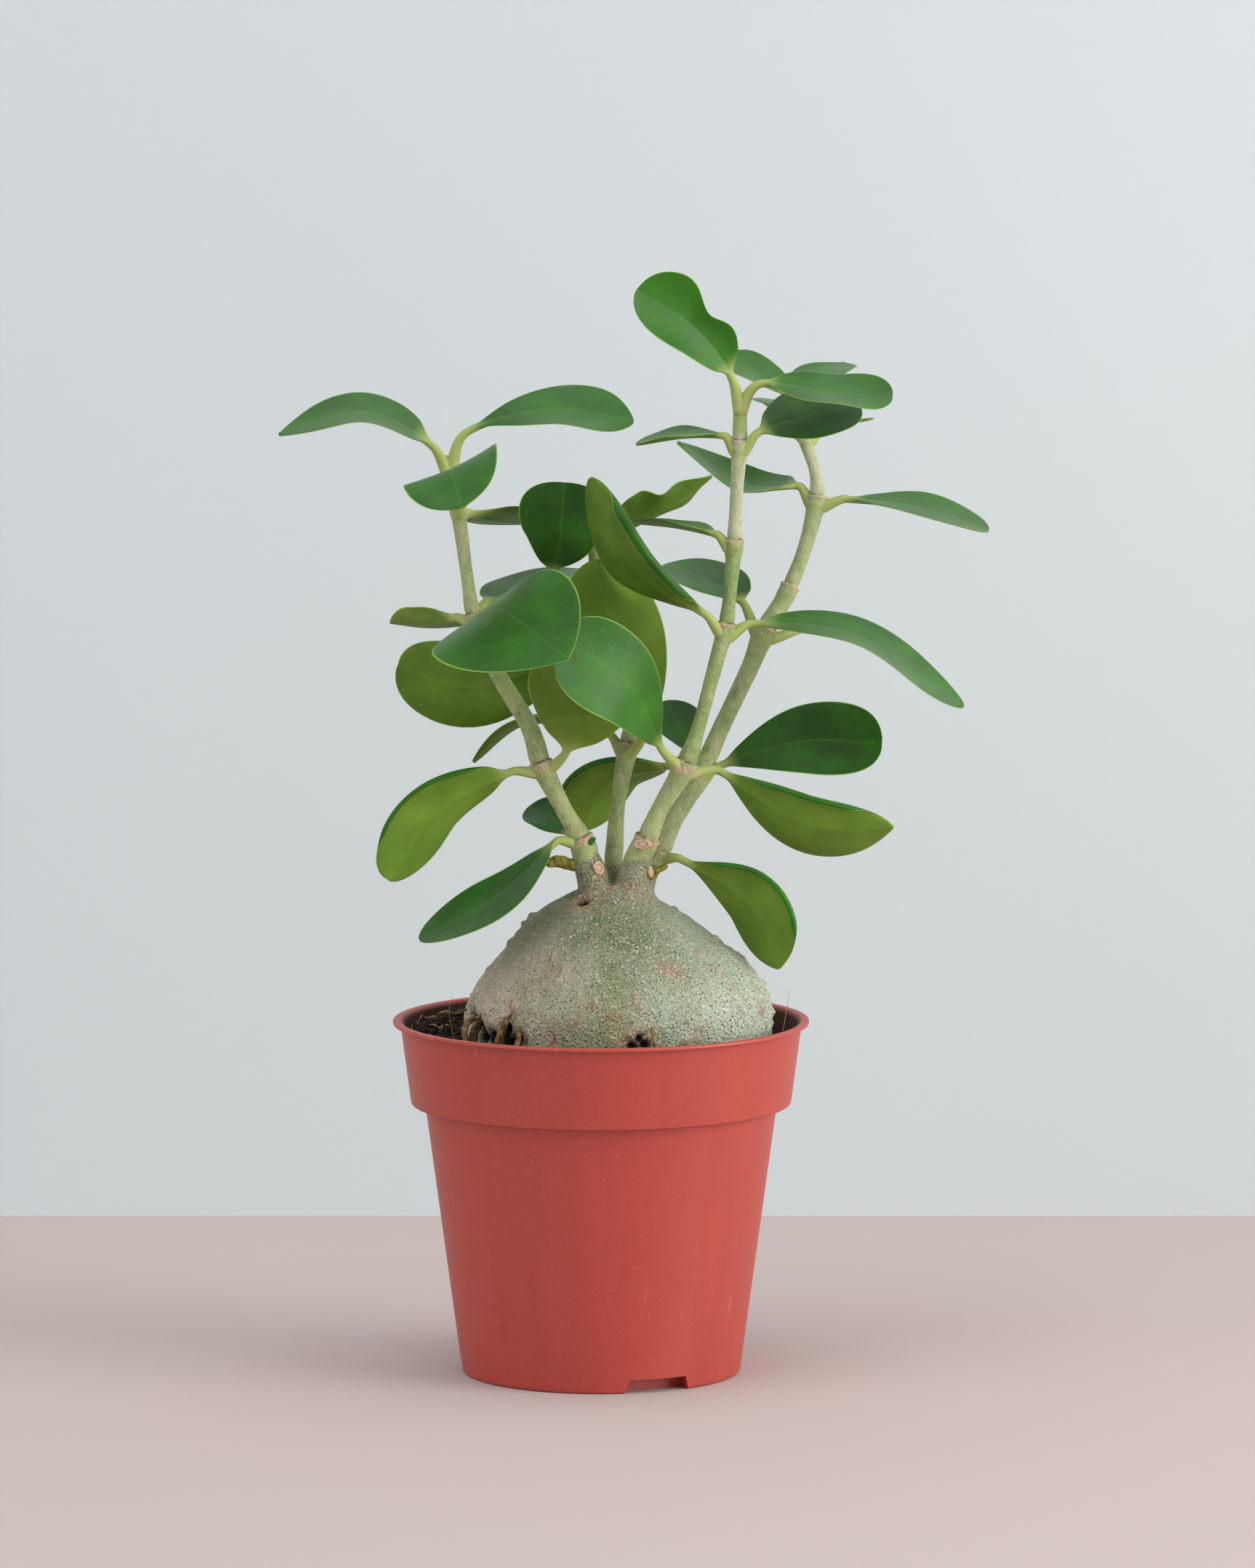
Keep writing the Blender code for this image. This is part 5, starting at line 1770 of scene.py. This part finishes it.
ROOTS = (("root_1", 205, 108, 1.6, 3.0), ("root_2", 222, 109, 1.3, 2.0), ("root_3", 233, 104, 1.1, 1.4))
DRIED_SHOOT = (
    (-5.5, -3.5, 147.5, 1.8), (-8.8, -4, 147.9, 1.7), (-12, -5, 148.9, 1.8), (-16.6, -6, 148.5, 1.1),
)
FALLEN_STALK = (
    (13.4, -2.6, 144.2, 1.5), (15.4, -2.8, 145.6, 1.1), (17.4, -2.6, 146.6, 0.95), (19.2, -2.4, 147.4, 0.8),
)
SIDE_BUD = (
    (-4.4, -5.0, 153.8, 0.9), (-3.1, -5.6, 154.6, 0.95), (-2.2, -5.9, 155.4, 0.7), (-1.8, -6.0, 156.1, 0.3),
)
STRANDS = (
    ((-24.6, -30.4, 109.6, 0.3), (-26.6, -30.6, 106.4, 0.6),
     (-28.6, -30.6, 103.0, 0.75), (-30.2, -30.4, 98.0, 0.7)),
    ((-24.2, -32.0, 104.6, 0.5), (-23.4, -33.8, 102.6, 0.8),
     (-23.8, -34.6, 100.0, 0.8), (-24.8, -35.0, 97.0, 0.7)),
    ((-34.6, -21.0, 106.2, 0.5), (-38.0, -20.6, 104.6, 0.85),
     (-39.0, -21.4, 101.6, 0.9), (-38.2, -22.6, 97.0, 0.8)),
    ((-38.5, -12.0, 107.0, 0.35), (-41.5, -13.0, 106.0, 0.5),
     (-44.5, -12.5, 106.4, 0.45), (-47.0, -11.5, 105.6, 0.3)),
    ((14.4, -41.6, 106.0, 0.3), (14.9, -42.6, 103.6, 0.45),
     (15.2, -43.2, 101.0, 0.45), (15.6, -43.6, 98.0, 0.4)),
    ((-13.2, -38.6, 104.0, 0.25), (-13.0, -39.8, 102.0, 0.45),
     (-13.2, -40.6, 100.0, 0.45), (-13.5, -41.0, 97.0, 0.4)),
)


@dataclass
class Soil:
    """Potting mix: a body, loose crumbs, pale bits and fibres.

    Sizes are in metres. The hairs' rows of x, y, z and radius are in millimetres.
    """

    pot: Pot
    wall_level: float = 0.086
    rings: int = 44
    grit: float = 0.0007
    right_level: float = 0.0885
    left_rise: float = 0.0105
    lump: float = 0.0012
    clearance: float = 0.0003
    sectors: int = 150
    crumbs: int = 1500
    pale_bits: int = 60
    bare_radius: float = 0.038
    crumb_reach: float = 0.0546
    fibres: int = 90
    fibre_reach: float = 0.0545
    fibre_sides: int = 5
    fibre_seed: int = 21
    hairs: tuple = (
        ((50.8, -20, 93, 0.16), (51.6, -20, 99, 0.14), (52.6, -20.5, 105, 0.1), (54.0, -21, 114, 0.05)),
        ((-41, -14, 95, 0.14), (-42.6, -15, 101, 0.12), (-43.5, -15, 107, 0.08), (-42.4, -16, 112, 0.05)),
    )

    def level(self, x: float, y: float) -> float:
        """Height of the soil at a place."""
        lean = max(-1.0, min(1.0, (0.7 * y - x) / 0.05))
        lump = noise.noise(Vector((x, y, 0)) * 90) + 0.5 * noise.noise(Vector((x, y, 7)) * 210)
        return self.right_level + self.left_rise * (0.5 + 0.5 * lean) + self.lump * lump

    def body(self, finish: bpy.types.Material) -> None:
        """Fill the pot with soil that has a crumbly top.

        Args:
            finish: the soil material.
        """
        gap = self.pot.wall + self.clearance
        step = self.pot.collar_bottom + gap
        outer = self.pot.collar_radius(self.wall_level) - gap
        turns = around(self.sectors)
        walls = (
            (self.pot.centre_radius, gap), (self.pot.body_radius(0.0) - gap, gap),
            (self.pot.body_radius(self.pot.collar_bottom) - gap, step),
            (self.pot.collar_radius(step) - gap, step),
        )
        rings = [[(r * math.cos(t), r * math.sin(t), z) for t in turns] for r, z in walls]
        for share in np.linspace(1.0, 0.12, self.rings):
            ring = []
            for t in turns:
                x, y = outer * share * math.cos(t), outer * share * math.sin(t)
                grit = noise.noise(Vector((x, y, 3)) * 700) + 0.6 * noise.noise(Vector((x, y, 1)) * 1500)
                ring.append((x, y, self.level(x, y) + self.grit * grit * (share < 1)))
            rings.append(ring)
        points = np.array(rings).reshape(-1, 3)
        shade = np.clip(0.25 + 0.5 * noise_at(points, 500), 0, 1)
        blank = mesh_of("soil_blank", points, ring_faces(len(rings), self.sectors), {"shade": shade})
        ribs = self.pot.blocks("soil_ribs", gap, self.pot.wall)
        mesh = combined(loose_object("soil_blank", blank), [(ribs, "DIFFERENCE")])
        add_piece("soil_body", mesh, finish, ["soil"])

    def place(self, dice: random.Random, reach: float) -> Vector:
        """Pick a bare place on the soil within a reach, more often on its higher side."""
        while True:
            turn = dice.uniform(0, 2 * math.pi)
            radius = dice.uniform(self.bare_radius, reach)
            x, y = radius * math.cos(turn), radius * math.sin(turn)
            if dice.random() < 0.45 + 0.55 * (0.5 - 0.5 * math.cos(turn - 0.4)):
                return Vector((x, y, self.level(x, y)))

    def scatter(
        self, name: str, count: int, sizes: tuple, shades: tuple, finish: bpy.types.Material, seed: int
    ) -> None:
        """Strew angular crumbs over the soil.

        Args:
            name: the piece's name.
            count: how many crumbs.
            sizes: smallest and largest radius in metres.
            shades: lowest and highest shade.
            finish: the crumbs' material.
            seed: fixes where they fall.
        """
        dice = random.Random(seed)
        shape = bmesh.new()
        bmesh.ops.create_icosphere(shape, subdivisions=1, radius=1.0)
        corners = np.array([vertex.co for vertex in shape.verts])
        sides = [[vertex.index for vertex in face.verts] for face in shape.faces]
        shape.free()
        heap = Heap()
        for _ in range(count):
            size = sizes[0] + (sizes[1] - sizes[0]) * dice.random() ** 2.5
            angle = dice.uniform(0, 6.28)
            spin = Matrix.Rotation(angle, 3, Vector([dice.gauss(0, 1) for _ in range(3)]))
            stretch = [dice.uniform(low, high) * size for low, high in ((0.7, 1.5), (0.5, 1.0), (0.4, 0.9))]
            bumpy = corners * (1 + np.array([dice.uniform(-0.3, 0.3) for _ in corners]))[:, None] * stretch
            centre = self.place(dice, self.crumb_reach - 1.4 * size) + Vector((0, 0, 0.35 * size))
            heap.add(bumpy @ np.array(spin).T + np.array(centre), sides, dice.uniform(*shades))
        mesh = heap.mesh(name)
        mesh.shade_flat()
        add_piece(name, mesh, finish)

    def strands(self, finish: bpy.types.Material) -> None:
        """Lay thin fibres and a few standing hairs on the soil.

        Args:
            finish: the fibres' material.
        """
        dice = random.Random(self.fibre_seed)
        heap = Heap()
        lines = [self.lying(dice) for _ in range(self.fibres)]
        lines += [np.array(hair) * MM for hair in self.hairs]
        for line in lines:
            path = smooth_path(line, 6)
            rings = tube_rings(path, self.fibre_sides)
            heap.add(rings, ring_faces(len(path), self.fibre_sides), dice.uniform(0.0, 1.0))
        add_piece("soil_fibres", heap.mesh("soil_fibres"), finish)

    def lying(self, dice: random.Random) -> np.ndarray:
        """Trace a fibre that lies on the soil.

        Args:
            dice: the random source.

        Returns:
            Four rows of x, y, z and radius in metres.
        """
        start = self.place(dice, self.fibre_reach)
        heading = dice.uniform(0, 2 * math.pi)
        length = dice.uniform(0.004, 0.011)
        rows = []
        for step in range(4):
            heading += dice.uniform(-0.5, 0.5)
            x = start.x + math.cos(heading) * length * step / 3
            y = start.y + math.sin(heading) * length * step / 3
            beyond = max(1.0, math.hypot(x, y) / self.fibre_reach)
            x, y = x / beyond, y / beyond
            z = self.level(x, y) + dice.uniform(0.0003, 0.0022)
            rows.append((x, y, z, dice.uniform(0.00012, 0.0003)))
        return np.array(rows)


@dataclass
class Studio:
    """Floor, wall, lights and the camera."""

    floor: StageFinish = StageFinish("floor_paint", tint(193, 178, 174))
    wall: StageFinish = StageFinish("wall_paint", tint(202, 210, 212), True)
    wall_distance: float = 0.273
    camera_place: tuple[float, float, float] = (0.00762, -2.600, 0.4736)
    camera_pitch: float = 83.356
    focal_pixels: float = 12514.0
    picture_height: float = 2156.0

    def sheet(self, name: str, corners: Sequence[tuple], finish: StageFinish) -> None:
        """Set a flat sheet of the stage.

        Args:
            name: the sheet's name.
            corners: its four corners.
            finish: its paint.
        """
        mesh = bpy.data.meshes.new(name)
        mesh.from_pydata(corners, [], [(0, 1, 2, 3)])
        mesh.materials.append(finish.make())
        loose_object(name, mesh)

    def stage(self) -> None:
        """Set the floor and the wall behind it."""
        far = self.wall_distance
        self.sheet("floor", ((-4, -5, 0), (4, -5, 0), (4, 4, 0), (-4, 4, 0)), self.floor)
        self.sheet("wall", ((-4, far, 0), (4, far, 0), (4, far, 3), (-4, far, 3)), self.wall)

    def lamp(self, name: str, place: tuple, aim: float, size: float, power: float, colour: tuple) -> None:
        """Hang a soft square light.

        Args:
            name: the light's name.
            place: where it hangs.
            aim: height of the point on the pot's axis that it faces.
            size: its side in metres.
            power: watts.
            colour: red, green and blue.
        """
        data = bpy.data.lights.new(name, "AREA")
        data.size = size
        data.energy = power
        data.color = colour
        obj = bpy.data.objects.new(name, data)
        obj.location = place
        obj.rotation_euler = (Vector((0, 0, aim)) - Vector(place)).to_track_quat("-Z", "Y").to_euler()
        bpy.context.scene.collection.objects.link(obj)

    def light(self) -> None:
        """Light the stage from a window side, with a soft fill."""
        world = bpy.data.worlds.new("daylight")
        world.use_nodes = True
        background = world.node_tree.nodes["Background"]
        background.inputs["Color"].default_value = (0.93, 0.96, 1.0, 1.0)
        background.inputs["Strength"].default_value = 0.5
        bpy.context.scene.world = world
        self.lamp("window", (1.75, -0.75, 0.56), aim=0.15, size=1.3, power=35.0, colour=(1.0, 0.98, 0.95))
        self.lamp("fill", (-1.7, -1.3, 1.2), aim=0.15, size=2.2, power=19.0, colour=(0.95, 0.98, 1.0))
        self.lamp("top", (0.1, -0.35, 1.9), aim=0.2, size=1.4, power=13.0, colour=(1.0, 1.0, 1.0))
        bpy.context.scene.view_settings.view_transform = "Standard"

    def camera(self) -> None:
        """Stand the camera where the picture was taken from."""
        data = bpy.data.cameras.new("camera")
        data.sensor_fit = "VERTICAL"
        data.sensor_height = 36.0
        data.lens = self.focal_pixels / self.picture_height * data.sensor_height
        data.clip_start = 0.05
        data.clip_end = 20.0
        obj = bpy.data.objects.new("camera", data)
        obj.location = self.camera_place
        obj.rotation_euler = (math.radians(self.camera_pitch), 0, 0)
        bpy.context.scene.collection.objects.link(obj)
        bpy.context.scene.camera = obj


def root_line(heading: float, top: float, radius: float, bow: float, caudex: Caudex) -> tuple:
    """Trace a surface root down the side of the caudex.

    Args:
        heading: side of the caudex in degrees.
        top: height where it leaves the caudex.
        radius: its radius.
        bow: how far it stands off at its foot.
        caudex: the caudex.

    Returns:
        Rows of x, y, z and radius in millimetres.
    """
    turn = math.radians(heading)
    rows = []
    for share in (0.0, 0.3, 0.65, 1.0):
        z = ROOT_FOOT_Z + (top - ROOT_FOOT_Z) * share
        half, centre, depth = caudex.at(z)
        reach = half - 1.2 * radius + (bow + 1.6 * radius) * (1 - share) ** 0.6
        x = centre + reach * math.cos(turn)
        y = depth * reach * math.sin(turn)
        rows.append((x, y, z, radius * (1.15 - 0.45 * share)))
    return tuple(rows)


def main() -> None:
    """Build the pot, the soil, the plant and the studio."""
    logging.basicConfig(level=logging.INFO, format="%(name)s: %(message)s")
    effects = Effects()
    pot = Pot()
    pot.build(PotFinish().make(effects))
    soil = Soil(pot)
    dark = LooseFinish("potting_mix", tint(14, 9, 8), tint(58, 40, 32)).make(effects)
    pale = LooseFinish("mineral_bits", tint(150, 142, 128), tint(232, 226, 214), scale=1500.0).make(effects)
    straw = LooseFinish("fibre", tint(60, 40, 26), tint(170, 140, 100), rough=0.7).make(effects)
    bark = LooseFinish("root_bark", tint(58, 36, 22), tint(150, 118, 76), rough=0.8).make(effects)
    shoot = LooseFinish("shoot_skin", tint(96, 84, 34), tint(150, 146, 58), rough=0.6).make(effects)
    green = LooseFinish("bud_skin", tint(30, 84, 24), tint(84, 134, 52), rough=0.5).make(effects)
    soil.body(dark)
    soil.scatter("soil_crumbs", soil.crumbs, sizes=(0.0004, 0.0026), shades=(0.0, 0.55), finish=dark, seed=3)
    soil.scatter(
        "soil_pale_bits", soil.pale_bits, sizes=(0.0004, 0.0012), shades=(0.0, 0.9), finish=pale, seed=5
    )
    soil.strands(straw)
    caudex = Caudex()
    caudex.build(CaudexFinish().make(effects))
    skin = BarkFinish().make(effects)
    stems = {stem.key: stem for stem in STEMS}
    for stem in STEMS:
        stem.build(skin)
    for name, heading, top, radius, bow in ROOTS:
        Twig(f"{name}_bark", (name,), root_line(heading, top, radius, bow, caudex)).build(bark)
    Twig("dried_shoot", ("stub",), DRIED_SHOOT).build(shoot)
    Twig("fallen_leaf_stalk", (), FALLEN_STALK, Slot.STEM).build(shoot)
    Twig("side_bud", (), SIDE_BUD, Slot.STEM).build(green)
    scar = LooseFinish("scar_skin", tint(128, 82, 62), tint(222, 186, 160), scale=1400.0).make(effects)
    LeafScars().build(scar)
    for number, line in enumerate(STRANDS, 1):
        Twig(f"side_root_{number}", (), line, lump=0.14).build(bark)
    wax = LeafFinish().make(effects)
    for number, leaf in enumerate(LEAVES):
        leaf.build(stems, wax, number)
    studio = Studio()
    studio.stage()
    studio.light()
    studio.camera()


if __name__ == "__main__":
    main()
